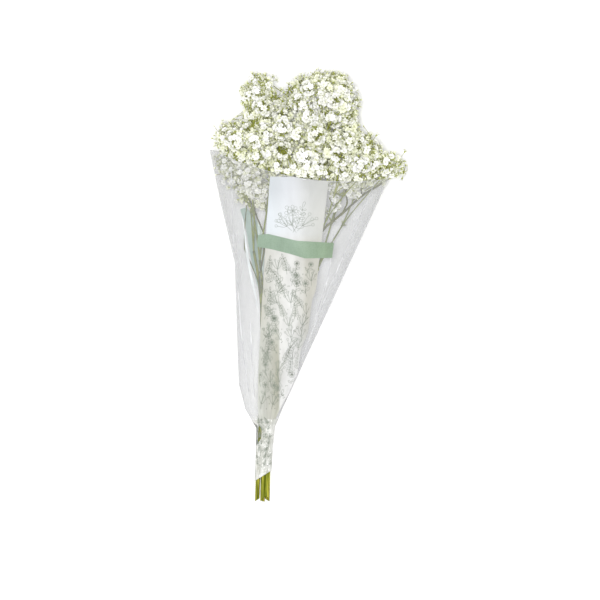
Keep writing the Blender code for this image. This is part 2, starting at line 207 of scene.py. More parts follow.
def wall_room(stem, point):
    height = point.z - ROW_TILT * (point.x - HEAD_CENTRE.x)
    row_wall = sum(NECK_Z.values()) / 2, sum(HEAD_Z.values()) / 2
    above = room_from_wall(height, *row_wall, point.y) / math.hypot(1, ROW_TILT)
    rooms = [above if stem.row == "front" else -above]
    row = [other for other in STEMS if other.row == stem.row]
    number = row.index(stem)
    for side in (-1, 1):
        if 0 <= number + side < len(row):
            other = row[number + side]
            neck, head = (stem.neck_x + other.neck_x) / 2, (stem.head_x + other.head_x) / 2
            rooms.append(-side * room_from_wall(point.x, neck, head, point.y))
    return min(rooms)


def in_head(point):
    for centre, radii in LOBES:
        shares = [(p - c * MM) / (r * MM - 0.7 * CLUSTER_R) for p, c, r in zip(point, centre, radii)]
        if sum(s * s for s in shares) < 1:
            return True
    return False


def cluster_fits(stem, point):
    if wall_room(stem, point) < CLUSTER_R + CELL_GAP or point.z < CLUSTER_R + FILM + CELL_GAP:
        return False
    if not in_head(point):
        return False
    for tilt in (-60, -20, 20, 60):
        reach = CLUSTER_R * math.cos(math.radians(tilt))
        level = point + Vector((0, 0, CLUSTER_R * math.sin(math.radians(tilt))))
        for k in range(8):
            turn = math.tau * k / 8
            if not inside_film(level + Vector((math.cos(turn), math.sin(turn), 0)) * reach):
                return False
    return True


def cluster_sites(stem, draw):
    places = []
    for _ in range(SITE_TRIES):
        centre, radii = draw.choice(LOBES)
        point = Vector([c + draw.uniform(-r, r) for c, r in zip(centre, radii)]) * MM
        if cluster_fits(stem, point):
            places.append(point)
    sites = [max(places, key=lambda place: place.y)]
    rooms = [(place - sites[0]).length for place in places]
    while max(rooms) > SITE_SPACING:
        sites.append(places[rooms.index(max(rooms))])
        rooms = [min(room, (place - sites[-1]).length) for room, place in zip(rooms, places)]
    return sites


def split_in_two(node, sites):
    rays = [(site - node).normalized() for site in sites]
    pairs = [(a.dot(b), i, j) for i, a in enumerate(rays) for j, b in enumerate(rays) if i < j]
    _, first, second = min(pairs)
    groups = ([], [])
    for site, ray in zip(sites, rays):
        groups[ray.dot(rays[second]) > ray.dot(rays[first])].append(site)
    return groups


def branch_out(start, heading, sites, branches, twigs):
    """Forks again and again from a start. Each branch and twig is kept with its parent's heading."""
    if len(sites) == 1:
        twigs.append((start, heading, sites[0]))
        return
    node = start.lerp(mean(sites), FORK_SHARE)
    branches.append((start, heading, node, len(sites)))
    for group in split_in_two(node, sites):
        branch_out(node, (node - start).normalized(), group, branches, twigs)


def leaning(facing, away, tilt):
    sideways = (away - facing * away.dot(facing)).normalized()
    return facing * math.cos(tilt) + sideways * math.sin(tilt)


def cluster_places(start, site, draw):
    """The seven places of a cluster that carry flowers: the root, direction and length of each."""
    heading = (site - start).normalized()
    facing = (heading + (site - HEAD_CENTRE).normalized() * OUTWARD_PULL).normalized()
    points = ring(start - heading * TWIG_R, heading, TWIG_R, 3, draw.uniform(0, math.tau))
    low_centre = site - facing * HUB_HALF_HEIGHT
    for point in points[:3]:
        offset = point - start
        offset -= facing * offset.dot(facing)
        points.append(low_centre + offset.normalized() * HUB_R)
    for k in range(3):
        edge = (points[3 + k] + points[3 + (k + 1) % 3]) / 2 - low_centre
        points.append(site + facing * HUB_HALF_HEIGHT + edge.normalized() * HUB_R)
    bases = [((6, 7, 8), 0)]
    bases += [((3 + k, 6 + k, 6 + (k - 1) % 3), UPPER_TILT) for k in range(3)]
    bases += [((3 + k, 3 + (k + 1) % 3, 6 + k), LOWER_TILT) for k in range(3)]
    places = []
    for base, tilt in bases:
        root = mean([points[k] for k in base])
        direction = leaning(facing, root - site, tilt)
        places.append((root, direction, PEDICEL * draw.uniform(*PEDICEL_SPREAD)))
        draw.uniform(0, 1)  # the turn of the solids' floret, which isn't needed here
    return places


Spray = namedtuple("Spray", "stem crown branches twigs bracts clusters")


def grow_sprays():
    """The five sprays' skeletons, from the same seed and the same draws as the solids."""
    draw = random.Random(SEED)
    sprays = []
    for stem in STEMS:
        sites = cluster_sites(stem, draw)
        crown = axis_point(stem, between(NECK_Y, mean(sites).y, CROWN_SHARE))
        heading = (crown - axis_point(stem, crown.y - NECK_BEND)).normalized()
        branches, twigs = [], []
        for group in split_in_two(crown, sites):
            branch_out(crown, heading, group, branches, twigs)
        bracts = [draw.uniform(0, math.tau) if branch[3] > 2 else None for branch in branches]
        clusters = [cluster_places(start, site, draw) for start, _, site in twigs]
        sprays.append(Spray(stem, crown, branches, twigs, bracts, clusters))
    return sprays


# Meshes


class Shape:
    """Points, faces and texture places of one piece, gathered part by part."""

    def __init__(self):
        self.points, self.places, self.faces, self.finishes = [], [], [], []
        self.count = 0

    def add(self, points, places, faces, finish=0):
        faces = np.asarray(faces, np.int64)
        self.points.append(np.asarray(points, float).reshape(-1, 3))
        self.places.append(np.asarray(places, float).reshape(-1, 2))
        self.faces.append(faces + self.count)
        self.finishes.append(np.full(len(faces), finish))
        self.count += len(self.points[-1])

    def build(self, name, materials):
        corners = np.concatenate([faces.ravel() for faces in self.faces])
        mesh = bpy.data.meshes.new(name)
        faces = [face for part in self.faces for face in part.tolist()]
        mesh.from_pydata(np.concatenate(self.points), [], faces)
        mesh.polygons.foreach_set("material_index", np.concatenate(self.finishes).astype(np.int32))
        mesh.polygons.foreach_set("use_smooth", np.ones(len(faces), bool))
        layer = mesh.uv_layers.new(name="place")
        layer.data.foreach_set("uv", np.concatenate(self.places)[corners].ravel())
        for finish in materials:
            mesh.materials.append(finish)
        mesh.validate()
        obj = add_object(name, mesh)
        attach(obj, "root")
        return obj


def add_object(name, data, place=(0, 0, 0)):
    obj = bpy.data.objects.new(name, data)
    obj.location = place
    bpy.context.scene.collection.objects.link(obj)
    return obj


def unit(vectors):
    return vectors / np.linalg.norm(vectors, axis=-1, keepdims=True)


def paired(first, second):
    """Pairs of values over a grid, from a column and a row of them."""
    return np.stack(np.broadcast_arrays(first, second), -1)


def bell(run, middle, reach):
    """1 at the middle, falling to 0 on either side of it."""
    return np.exp(-(((run - middle) / reach) ** 2))


def grid_faces(rows, columns, closed=False):
    """Quads of a grid of points, row by row. A closed grid joins its last column to its first."""
    wide = columns if closed else columns - 1
    low = np.arange(rows - 1)[:, None] * columns + np.arange(wide)[None]
    following = np.arange(rows - 1)[:, None] * columns + (np.arange(wide)[None] + 1) % columns
    return np.stack([low, following, following + columns, low + columns], -1).reshape(-1, 4)


NO_BAR = (0.31, 0.17, 0.93)  # a direction that no bar starts along
TEXTURE_STEP = 0.01  # metres along a bar or line for each unit of its texture place


def add_tube(shape, path, radii, sides, finish=0):
    """A round bar along a path, with both ends closed."""
    path, radii = np.asarray(path, float), np.asarray(radii, float)
    tangents = unit(np.gradient(path, axis=0))
    side = np.cross(tangents[0], NO_BAR)
    sides_at = []
    for tangent in tangents:
        side = side - tangent * side.dot(tangent)
        side /= np.linalg.norm(side)
        sides_at.append(side)
    side = np.array(sides_at)
    other = np.cross(tangents, side)
    turns = np.arange(sides) * math.tau / sides
    spokes = side[:, None] * np.cos(turns)[:, None] + other[:, None] * np.sin(turns)[:, None]
    points = path[:, None] + spokes * radii[:, None, None]
    run = np.concatenate([[0], np.cumsum(np.linalg.norm(np.diff(path, axis=0), axis=1))])
    places = paired(run[:, None] / TEXTURE_STEP, turns[None] / math.tau)
    shape.add(points, places, grid_faces(len(path), sides, closed=True), finish)
    for end, direction in ((0, 1), (len(path) - 1, -1)):
        if sides == 3:
            shape.add(points[end], np.tile(places[end, :1], (3, 1)), [(0, 1, 2)[::direction]], finish)
            continue
        fan = [(0, 1 + k, 1 + (k + 1) % sides)[::direction] for k in range(sides)]
        middle = np.concatenate([path[end][None], points[end]])
        shape.add(middle, np.tile(places[end, :1], (sides + 1, 1)), fan, finish)


def hermite(start, end, leave, arrive, count):
    """A smooth path that leaves and arrives along the given directions."""
    start, end = np.array(start), np.array(end)
    reach = np.linalg.norm(end - start)
    leave, arrive = unit(np.array(leave)) * reach, unit(np.array(arrive)) * reach
    t = np.linspace(0, 1, count)[:, None]
    return (
        (2 * t**3 - 3 * t**2 + 1) * start
        + (t**3 - 2 * t**2 + t) * leave
        + (3 * t**2 - 2 * t**3) * end
        + (t**3 - t**2) * arrive
    )


# Florets: templates about their own base, facing +Z, then set in place in bulk

PETAL_STEPS = (0, 0.3, 0.75, 1)  # shares of a petal's length
PETAL_SPANS = (0.28, 0.62, 1.0, 0.72)  # shares of its width there
PETAL_LENGTHS = (0.88, 1.1)
PETAL_WIDTHS = (0.88, 1.12)
PETAL_CURLS = (-35, 12)  # degrees, from the base to the tip
PETAL_CUPS = (0.05, 0.5)  # rise of the edges over half the width
PETAL_NOTCHES = (0.02, 0.2)  # depth of the notch over the length
BUD_LIFT = 78  # degrees, of every petal when closed
LIFT_SPREAD = 9
LAYER_STEP = 0.22 * MM
ROUND_SIDES = 5  # of calyxes and buds

# Layers of a double floret: petals, length, width, lift in degrees, rows of points
FLORET_LAYERS = (
    (5, 4.3, 3.7, 4, 3),
    (5, 3.7, 3.2, 30, 3),
    (5, 2.9, 2.7, 52, 2),
    (3, 2.1, 2.0, 74, 2),
)
# The same for florets that lie below others, which have fewer petals and plainer ones
DEEP_LAYERS = (
    (5, 4.3, 3.7, 4, 3),
    (5, 3.7, 3.2, 30, 2),
    (3, 2.9, 2.9, 52, 2),
    (3, 2.1, 2.0, 74, 2),
)
# Radii and heights in millimetres
CALYX_RINGS = ((0.35, -2.5), (0.95, -1.5), (1.2, 0.1))
DEEP_RINGS = ((0.35, -2.5), (1.2, 0.1))
BUD_RINGS = ((0.3, -1.3), (1.05, -0.5), (1.0, 0.5), (0.12, 1.4))


def petal(length, width, lift, curl, cup, notch, rows):
    """One petal, growing along +X from the middle: its points, places and faces."""
    t = np.linspace(0, 1, rows)
    angle = lift + curl * t
    step = length / (rows - 1)
    x = np.concatenate([[0], np.cumsum(np.cos(angle[:-1]) * step)])
    z = np.concatenate([[0], np.cumsum(np.sin(angle[:-1]) * step)])
    half = width / 2 * np.interp(t, PETAL_STEPS, PETAL_SPANS)
    points = np.zeros((rows, 3, 3))
    points[:, :, 0] = x[:, None]
    points[:, :, 1] = half[:, None] * np.array([-1, 0, 1])
    points[:, :, 2] = z[:, None] + cup * half[:, None] * np.array([1, 0, 1])
    points[-1, 1, 0] -= notch * length * math.cos(angle[-1])
    points[-1, 1, 2] -= notch * length * math.sin(angle[-1])
    places = paired(t[:, None], np.array([0.0, 0.5, 1.0])[None])
    return points.reshape(-1, 3), places.reshape(-1, 2), grid_faces(rows, 3)


def turned(points, angle):
    c, s = math.cos(angle), math.sin(angle)
    return points @ np.array([[c, s, 0], [-s, c, 0], [0, 0, 1]])


def round_template(profile):
    """A calyx or a closed bud, about +Z."""
    shape = Shape()
    turns = np.arange(ROUND_SIDES) * math.tau / ROUND_SIDES
    radii, heights = np.array(profile).T[..., None] * MM
    level = np.zeros(ROUND_SIDES)
    points = np.stack([radii * np.cos(turns), radii * np.sin(turns), heights + level], -1)
    places = paired(np.linspace(0, 1, len(profile))[:, None], turns[None])
    shape.add(points, places, grid_faces(len(profile), ROUND_SIDES, closed=True))
    return shape


def floret_template(draw, openness, layers, calyx_rings):
    """A double floret in its green calyx. Openness 1 is full bloom and 0 is a bursting bud."""
    petals = Shape()
    spin = draw.uniform(0, math.tau)
    for layer, (count, length, width, lift, rows) in enumerate(layers):
        for k in range(count):
            raised = between(BUD_LIFT, lift, openness) + draw.uniform(-LIFT_SPREAD, LIFT_SPREAD)
            points, places, faces = petal(
                length * draw.uniform(*PETAL_LENGTHS) * MM,
                width * draw.uniform(*PETAL_WIDTHS) * MM,
                math.radians(raised),
                math.radians(draw.uniform(*PETAL_CURLS)),
                draw.uniform(*PETAL_CUPS),
                draw.uniform(*PETAL_NOTCHES),
                rows,
            )
            points[:, 2] += layer * LAYER_STEP
            angle = spin + math.tau * (k + 0.5 * layer) / count + draw.uniform(-0.2, 0.2)
            petals.add(turned(points, angle), places, faces)
    return petals, round_template(calyx_rings)


def scatter(shape, template, spots, finish):
    """Copies of a template at many spots: each is a centre, a facing, a spin and a size."""
    centres, facing, spin, size = [np.array(column) for column in zip(*spots)]
    facing = unit(facing)
    helper = np.where(np.abs(facing[:, 2:]) < 0.8, (0.0, 0, 1), (1.0, 0, 0))
    side = unit(np.cross(helper, facing))
    other = np.cross(facing, side)
    axis_x = side * np.cos(spin)[:, None] + other * np.sin(spin)[:, None]
    axis_y = np.cross(facing, axis_x)
    turns = np.stack([axis_x, axis_y, facing], 1) * size[:, None, None]
    local, places = np.concatenate(template.points), np.concatenate(template.places)
    points = centres[:, None] + local @ turns
    for faces in template.faces:
        shifts = np.arange(len(spots))[:, None, None] * len(local)
        shape.faces.append((faces[None] + shifts).reshape(-1, faces.shape[1]) + shape.count)
        shape.finishes.append(np.full(len(spots) * len(faces), finish))
    shape.points.append(points.reshape(-1, 3))
    shape.places.append(np.tile(places, (len(spots), 1)))
    shape.count += len(spots) * len(local)


# Finishes


class Finish:
    """A Principled material whose colour, roughness and relief come from procedural nodes."""

    def __init__(self, name, **constants):
        self.material = bpy.data.materials.new(name)
        self.material.use_nodes = True
        self.tree = self.material.node_tree
        for key, value in constants.items():
            self.set(key.replace("_", " "), value)

    def fill(self, socket, value):
        """Gives a socket a number, a vector, a colour without its alpha, or another node's output."""
        if isinstance(value, bpy.types.NodeSocket):
            self.tree.links.new(value, socket)
        elif isinstance(value, tuple):
            socket.default_value = (*value, 1)[: len(socket.default_value)]
        else:
            socket.default_value = value

    def set(self, name, value):
        self.fill(self.tree.nodes["Principled BSDF"].inputs[name], value)

    def node(self, kind, inputs=None, **settings):
        made = self.tree.nodes.new(kind)
        for key, value in settings.items():
            setattr(made, key, value)
        for key, value in (inputs or {}).items():
            self.fill(made.inputs[key], value)
        return made

    def where(self, stretch=(1, 1, 1)):
        """The point's place in the object, in metres, stretched for patterns that run one way."""
        place = self.node("ShaderNodeTexCoord").outputs["Object"]
        return self.node("ShaderNodeMapping", {"Scale": stretch, "Vector": place}).outputs["Vector"]

    def across(self, which, low, high):
        """0 to 1 along an axis of the object, between two places on it."""
        place = self.node("ShaderNodeSeparateXYZ", {"Vector": self.where()}).outputs[which]
        return self.maths("DIVIDE", self.maths("SUBTRACT", place, low), high - low)

    def part(self, which):
        """X or Y of the texture place."""
        place = self.node("ShaderNodeUVMap", uv_map="place").outputs["UV"]
        return self.node("ShaderNodeSeparateXYZ", {"Vector": place}).outputs[which]

    def noise(self, scale, detail, stretch=(1, 1, 1), distortion=0.0):
        inputs = {"Scale": scale, "Detail": detail, "Distortion": distortion, "Vector": self.where(stretch)}
        return self.node("ShaderNodeTexNoise", inputs).outputs["Fac"]

    def ramp(self, factor, *stops):
        """A colour or a grey that follows the factor through the stops."""
        ramp = self.node("ShaderNodeValToRGB", {"Fac": factor})
        elements = ramp.color_ramp.elements
        while len(elements) < len(stops):
            elements.new(0.5)
        for element, (at, colour) in zip(elements, stops):
            element.position = at
            element.color = (*colour, 1) if isinstance(colour, tuple) else (colour,) * 3 + (1,)
        return ramp.outputs["Color"]

    def mix(self, factor, first, second, kind="MIX"):
        """Two colours mixed. Either may be a plain colour or an output, and so may the factor."""
        mix = self.node("ShaderNodeMix", {0: factor}, data_type="RGBA", blend_type=kind)
        self.fill(mix.inputs[6], first)
        self.fill(mix.inputs[7], second)
        return mix.outputs[2]

    def times(self, first, second):
        return self.mix(1.0, first, second, "MULTIPLY")

    def maths(self, operation, first, second):
        return self.node("ShaderNodeMath", {0: first, 1: second}, operation=operation).outputs[0]

    def relief(self, height, distance, strength):
        inputs = {"Distance": distance, "Strength": strength, "Height": height}
        self.set("Normal", self.node("ShaderNodeBump", inputs).outputs["Normal"])


def petal_finish(name, base, middle, tip):
    made = Finish(name, Roughness=0.62, Sheen_Weight=0.15)
    base = made.ramp(made.part("X"), (0.0, base), (0.16, middle), (0.36, tip))
    patches = made.ramp(made.noise(230, 1), (0.30, (0.93, 0.94, 0.84)), (0.5, 1.0))
    clouds = made.ramp(made.noise(26, 2), (0.45, 1.0), (0.7, (0.96, 0.965, 0.88)))
    made.set("Base Color", made.times(made.times(base, patches), clouds))
    veins = made.maths("SINE", made.maths("MULTIPLY", made.part("Y"), 44.0), 0.0)
    made.relief(veins, 0.05 * MM, 0.5)
    return made.material


def green_finish(name, dark, light, scale, stretch=(1, 1, 1), roughness=0.5, lower=1.0):
    """Streaked green, darkened and tinted by the lower colour below the flowers: painted shade with an olive
    tint.
    """
    made = Finish(name, Roughness=roughness, Specular_IOR_Level=0.2)
    streaks = made.ramp(made.noise(scale, 3, stretch), (0.32, dark), (0.68, light))
    # Below the flowers the lower colour paints shade, with an olive tint
    shade_and_tint = made.ramp(made.across("Y", 88 * MM, 112 * MM), (0.0, lower), (1.0, 1.0))
    made.set("Base Color", made.times(streaks, shade_and_tint))
    fine = made.noise(scale * 3.1, 2, stretch)
    made.set("Roughness", made.ramp(fine, (0.3, roughness - 0.1), (0.7, roughness + 0.15)))
    made.relief(fine, 0.08 * MM, 0.6)
    return made.material


def bud_finish():
    made = Finish("bud", Roughness=0.55)
    green, pale, white = (0.34, 0.38, 0.07), (0.56, 0.60, 0.20), (0.90, 0.91, 0.76)
    colour = made.ramp(made.part("X"), (0.0, green), (0.4, pale), (0.7, white))
    made.set("Base Color", made.times(colour, made.ramp(made.noise(300, 1), (0.3, 0.8), (0.7, 1.0))))
    return made.material


def stem_finish():
    """Olive stems with golden and dark streaks, greener and darker inside the cone of film."""
    made = Finish("stem", Roughness=0.5, Specular_IOR_Level=0.12)
    streaks = made.noise(420, 4, (1, 0.06, 1))
    dark, olive, gold = (0.06, 0.08, 0.004), (0.19, 0.21, 0.012), (0.42, 0.40, 0.04)
    colour = made.ramp(streaks, (0.36, dark), (0.5, olive), (0.6, gold))
    blotch = made.ramp(made.noise(60, 2, (1, 0.5, 1)), (0.45, 1.0), (0.7, (0.72, 0.62, 0.5)))
    green = made.ramp(made.across("Y", -120 * MM, -40 * MM), (0.0, 1.0), (1.0, (0.54, 0.65, 0.4)))
    made.set("Base Color", made.times(made.mix(0.8, colour, blotch, "MULTIPLY"), green))
    made.relief(streaks, 0.12 * MM, 0.7)
    return made.material


def cut_finish():
    made = Finish("cut_face", Roughness=0.6)
    speckle = made.noise(1500, 3)
    made.set("Base Color", made.ramp(speckle, (0.3, (0.42, 0.46, 0.20)), (0.7, (0.74, 0.76, 0.48))))
    made.relief(speckle, 0.1 * MM, 0.7)
    return made.material


def rubber_finish():
    made = Finish("rubber_band_skin", Roughness=0.6)
    bloom = made.noise(500, 3)
    made.set("Base Color", made.ramp(bloom, (0.3, (0.46, 0.33, 0.15)), (0.7, (0.66, 0.52, 0.28))))
    made.set("Roughness", made.ramp(bloom, (0.3, 0.5), (0.7, 0.75)))
    made.relief(made.noise(1800, 2, (1, 0.2, 1)), 0.06 * MM, 0.6)
    return made.material


def film_finish(name, thin, thick):
    """Clear film: grey haze in streaks along it, denser where it is seen at a slant, with paler streaks of
    painted highlight.
    """
    made = Finish(name, Roughness=0.1, Specular_IOR_Level=0.25)
    streaks = made.noise(34, 4, (1, 0.16, 1), 0.6)
    fine = made.noise(120, 3, (1, 0.12, 1), 0.4)
    haze_and_highlight = made.maths("ADD", made.maths("MULTIPLY", streaks, 0.7), made.maths("MULTIPLY", fine, 0.3))
    # The paler greys of the streaks are painted highlights of the film's wrinkles
    dark, middle, pale = (0.545, 0.55, 0.565), (0.59, 0.595, 0.615), (0.69, 0.695, 0.72)
    made.set("Base Color", made.ramp(haze_and_highlight, (0.38, dark), (0.52, middle), (0.66, pale)))
    slant = made.node("ShaderNodeLayerWeight", {"Blend": 0.35}).outputs["Facing"]
    body = made.ramp(haze_and_highlight, (0.36, thin), (0.55, between(thin, thick, 0.35)), (0.7, thick))
    coat = made.mix(made.maths("MULTIPLY", slant, 0.6), body, (0.7, 0.7, 0.7))
    wound = made.ramp(made.part("X"), (0.27, 0.25), (0.33, 1.0))
    made.set("Alpha", made.times(coat, wound))
    made.set("Roughness", made.ramp(fine, (0.35, 0.22), (0.7, 0.36)))
    made.relief(haze_and_highlight, 0.8 * MM, 0.12)
    return made.material


def weld_and_highlight_finish():
    """The creases and welded seams of the film, paler where it is doubled and with painted highlights along
    them.
    """
    made = Finish("film_crease", Roughness=0.2, IOR=1.5)
    streaks = made.noise(90, 3, (1, 0.3, 1))
    # The paler streaks are painted highlights along the creases
    made.set("Base Color", made.ramp(streaks, (0.4, (0.50, 0.51, 0.53)), (0.6, (0.9, 0.91, 0.93))))
    made.set("Alpha", made.ramp(streaks, (0.3, 0.3), (0.7, 0.62)))
    return made.material


def ink_and_painted_light_finish(name, dark, light, alphas, scale=45, shade=1.0):
    """Printed ink on the film, also used for a painted highlight on a crease: a thin mottled coat with a soft
    gloss, and a painted shade to its lower right.
    """
    made = Finish(name, Roughness=0.28, IOR=1.5)
    mottle = made.noise(scale, 4, (1, 0.4, 1), 0.5)
    # The shade to the lower right is painted shade
    side = made.ramp(made.part("Y"), (0.45, 1.0), (0.9, shade))
    made.set("Base Color", made.times(made.ramp(mottle, (0.35, dark), (0.65, light)), side))
    made.set("Alpha", made.ramp(mottle, (0.35, alphas[0]), (0.65, alphas[1])))
    made.set("Roughness", made.ramp(made.noise(900, 2), (0.3, 0.2), (0.7, 0.4)))
    made.relief(mottle, 0.8 * MM, 0.3)
    return made.material


# Colours of the strip from left to right: above, in the middle and in the fold below. The beige at the left
# is the print's own; the rest is painted light: a cool painted highlight at the upper left, painted
# highlights down the middle, and painted shade towards the right edge and in the fold
COOL_WITH_PAINTED_LIGHT = (
    (0.15, (0.64, 0.68, 0.715)),
    (0.5, (0.655, 0.67, 0.69)),
    (0.68, (0.56, 0.57, 0.56)),
    (0.9, (0.54, 0.545, 0.52)),
)
WARM_WITH_PAINTED_LIGHT = (
    (0.02, (0.50, 0.495, 0.44)),
    (0.20, (0.60, 0.60, 0.57)),
    (0.46, (0.68, 0.68, 0.665)),
    (0.62, (0.60, 0.595, 0.56)),
    (0.68, (0.52, 0.51, 0.46)),
)
FOLDED_WITH_PAINTED_LIGHT = (
    (0.02, (0.52, 0.53, 0.49)),
    (0.17, (0.50, 0.50, 0.45)),
    (0.262, (0.43, 0.43, 0.36)),
    (0.285, (0.43, 0.43, 0.36)),
    (0.31, (0.70, 0.70, 0.685)),
    (0.47, 0.79),
    (0.56, (0.70, 0.70, 0.69)),
    (0.66, (0.60, 0.60, 0.58)),
)


def strip_finish():
    """The white ground of the print, dense above and warm below, with painted light: a cool painted highlight
    above, a painted highlight band below, and painted shade to the right, in a fold and along the top.
    """
    made = Finish("strip_print", Roughness=0.25, IOR=1.5)
    mottle = made.noise(30, 4, (1, 0.25, 1), 0.8)
    side = made.across("X", -57 * MM, 25 * MM)
    low = made.ramp(made.across("Y", -30 * MM, -75 * MM), (0.0, 0.0), (1.0, 1.0))
    top = made.ramp(made.part("Y"), (0.22, 1.0), (0.28, 0.0))
    lower = made.mix(low, made.ramp(side, *WARM_WITH_PAINTED_LIGHT), made.ramp(side, *FOLDED_WITH_PAINTED_LIGHT))
    colour = made.mix(top, lower, made.ramp(side, *COOL_WITH_PAINTED_LIGHT))
    # Painted shade along the top of the strip
    painted_top_shade = made.ramp(made.across("Y", 85 * MM, 112 * MM), (0.0, 1.0), (1.0, (0.85, 0.85, 0.86)))
    shade = made.ramp(mottle, (0.35, (0.93, 0.93, 0.92)), (0.62, 1.03))
    made.set("Base Color", made.times(made.times(colour, painted_top_shade), shade))
    made.set("Alpha", made.mix(top, made.ramp(mottle, (0.35, 0.78), (0.65, 0.92)), (0.93, 0.93, 0.93)))
    made.relief(mottle, 1.5 * MM, 0.3)
    return made.material


# The film's own surface, with its pleats and buckles

STATIONS = np.array(SLEEVE)
BUCKLE = 0.35 * MM
DIP_ROUNDS, HALVINGS = 6, 18  # to find the spot on the film that lies below a point
# Pleats: how many round the film, turn, drift along it, depth, the place where they are deepest, reach
PLEATS = (
    (19, 0.4, 0.5, 0.7 * MM, 2.7, 1.0),
    (13, 1.9, -0.9, 1.1 * MM, 3.3, 1.0),
    (7, 0.7, 0.8, 1.3 * MM, 4.6, 1.5),
    (5, 2.6, -0.5, 2.0 * MM, 6.4, 2.2),
    (3, 1.1, 0.35, 2.4 * MM, 8.0, 2.6),
    (23, 3.0, 2.1, 0.35 * MM, 1.0, 1.2),
)


def creases(place, angle):
    """How far the film stands off its smooth shape: sharp ridges that fan out from the neck."""
    total = np.zeros_like(place)
    for count, turn, drift, depth, where, reach in PLEATS:
        phase = (count * angle + turn + drift * place + 0.35 * np.sin(2.3 * place + turn)) / 2
        ridge = 1 - 1.6 * np.abs(np.sin(phase)) ** 0.75
        total += depth * ridge * bell(place, where, reach)
    buckle = np.sin(9.1 * place + 4 * np.sin(3 * angle)) * np.sin(5 * angle + 1.7 * place)
    return total + BUCKLE * buckle


def film_section(place, count):
    """The first few measures of the film's section at places along it."""
    return [np.interp(place, np.arange(len(SLEEVE)), column) for column in STATIONS.T[:count]]


def rim_dip(place, rise):
    return RIM_DIP * np.maximum(0, place - DIP_FROM) / DIP_LENGTH * np.maximum(0, rise) ** 2


def film_points(place, angle, lift):
    """Points of the creased film at places along it and angles round it, lifted off its inner face."""
    place, angle = np.broadcast_arrays(np.asarray(place, float), np.asarray(angle, float))
    left_x, left_y, right_x, right_y, height, power = film_section(place, 6)
    half_x, half_y = (right_x - left_x) / 2, (right_y - left_y) / 2
    edge = FILM + EDGE_SHARE * height
    rise = np.sin(angle)
    bulge = np.abs(rise) ** power
    creased = creases(place, angle)
    upper = edge + (FILM + height - edge + lift + creased) * bulge
    low = FILM + TAIL_LIFT * np.clip(TAIL_DOWN - place, 0, 1)
    lower = edge - (edge - low + lift - np.abs(creased) * 0.4) * np.minimum(1, FLAT_SHARE * bulge)
    x = left_x + half_x * (1 + np.cos(angle))
    y = left_y + half_y * (1 + np.cos(angle)) - rim_dip(place, rise)
    return np.stack([x, y, np.where(rise >= 0, upper, lower)], -1)


def film_spots(x, y):
    """Where points seen from above lie on the sleeve's upper layer: places along it and angles round it."""
    x, y = np.broadcast_arrays(np.asarray(x, float), np.asarray(y, float))
    dip = np.zeros_like(x)
    for _ in range(DIP_ROUNDS):
        low, high = np.zeros_like(x), np.full_like(x, LAST)
        for _ in range(HALVINGS):
            place = (low + high) / 2
            left_x, left_y, right_x, right_y = film_section(place, 4)
            chord_x, chord_y = right_x - left_x, right_y - left_y
            offset_x, offset_y = x - left_x, y + dip - left_y
            above = chord_x * offset_y - chord_y * offset_x > 0
            low, high = np.where(above, place, low), np.where(above, high, place)
        share = (offset_x * chord_x + offset_y * chord_y) / (chord_x**2 + chord_y**2)
        angle = np.arccos(np.clip(2 * share - 1, -1, 1))
        dip = rim_dip(place, np.sin(angle))
    return place, angle


def on_film(flat, lift, under=False):
    """Points over the film's upper layer, or just over its lower one, straight above given places."""
    place, angle = film_spots(flat[..., 0], flat[..., 1])
    return film_points(place, -angle if under else angle, lift)


def evenly(outline, count=None, step=None):
    """Points at even steps along a line, and how far along it each one is."""
    outline = np.asarray(outline, float)
    run = np.concatenate([[0], np.cumsum(np.hypot(*np.diff(outline, axis=0).T))])
    steps = np.linspace(0, run[-1], count or max(2, int(run[-1] / step) + 1))
    return np.stack([np.interp(steps, run, outline[:, k]) for k in (0, 1)], -1), steps


def film_patch(name, edges, columns, rows, lift, finish, under=False, tapered=False):
    """A patch that follows the film between two edges, and may taper to its ends."""
    first, second = [evenly(np.array(edge, float) * MM, rows)[0] for edge in edges]
    share = np.linspace(0, 1, columns)[None, :, None]
    if tapered:
        share = 0.5 + (share - 0.5) * np.sin(math.pi * np.linspace(0.04, 0.97, rows))[:, None, None]
    flat = first[:, None] * (1 - share) + second[:, None] * share
    places = paired(np.linspace(0, 1, columns)[None], np.linspace(0, 1, rows)[:, None])
    shape = Shape()
    shape.add(on_film(flat, lift, under), places, grid_faces(rows, columns))
    piece = shape.build(name, [finish])


def add_line(shape, outline, width, lift, step=1.6 * MM):
    """A thin printed line on the film, along a line of points seen from above."""
    path, steps = evenly(outline, step=step)
    along = unit(np.gradient(path, axis=0))
    beside = np.stack([-along[:, 1], along[:, 0]], -1) * width / 2
    flat = np.stack([path - beside, path + beside], 1)
    places = paired(steps[:, None] / TEXTURE_STEP, np.array([0.0, 1.0])[None])
    shape.add(on_film(flat, lift), places, grid_faces(len(path), 2))


# Studio

PIXEL = 1.155 * MM
FRAME_PIXELS = 600
VIEW_CENTRE = Vector((-8.7, -15.6, 50)) * MM
CAMERA_HEIGHT = 14.0
CLIP_END = 50
SENSOR = 36.0
WORLD_STRENGTH = 0.56
SOFTBOXES = (  # name, place, size and power
    ("left_softbox", (-1.9, 0.3, 2.0), (0.5, 2.4), 3),
    ("right_softbox", (2.0, 0.2, 2.2), (0.5, 2.4), 2),
    ("top_softbox", (-0.12, 0.1, 4.5), (0.75, 0.75), 182),
)
FLOOR_REACH = 12


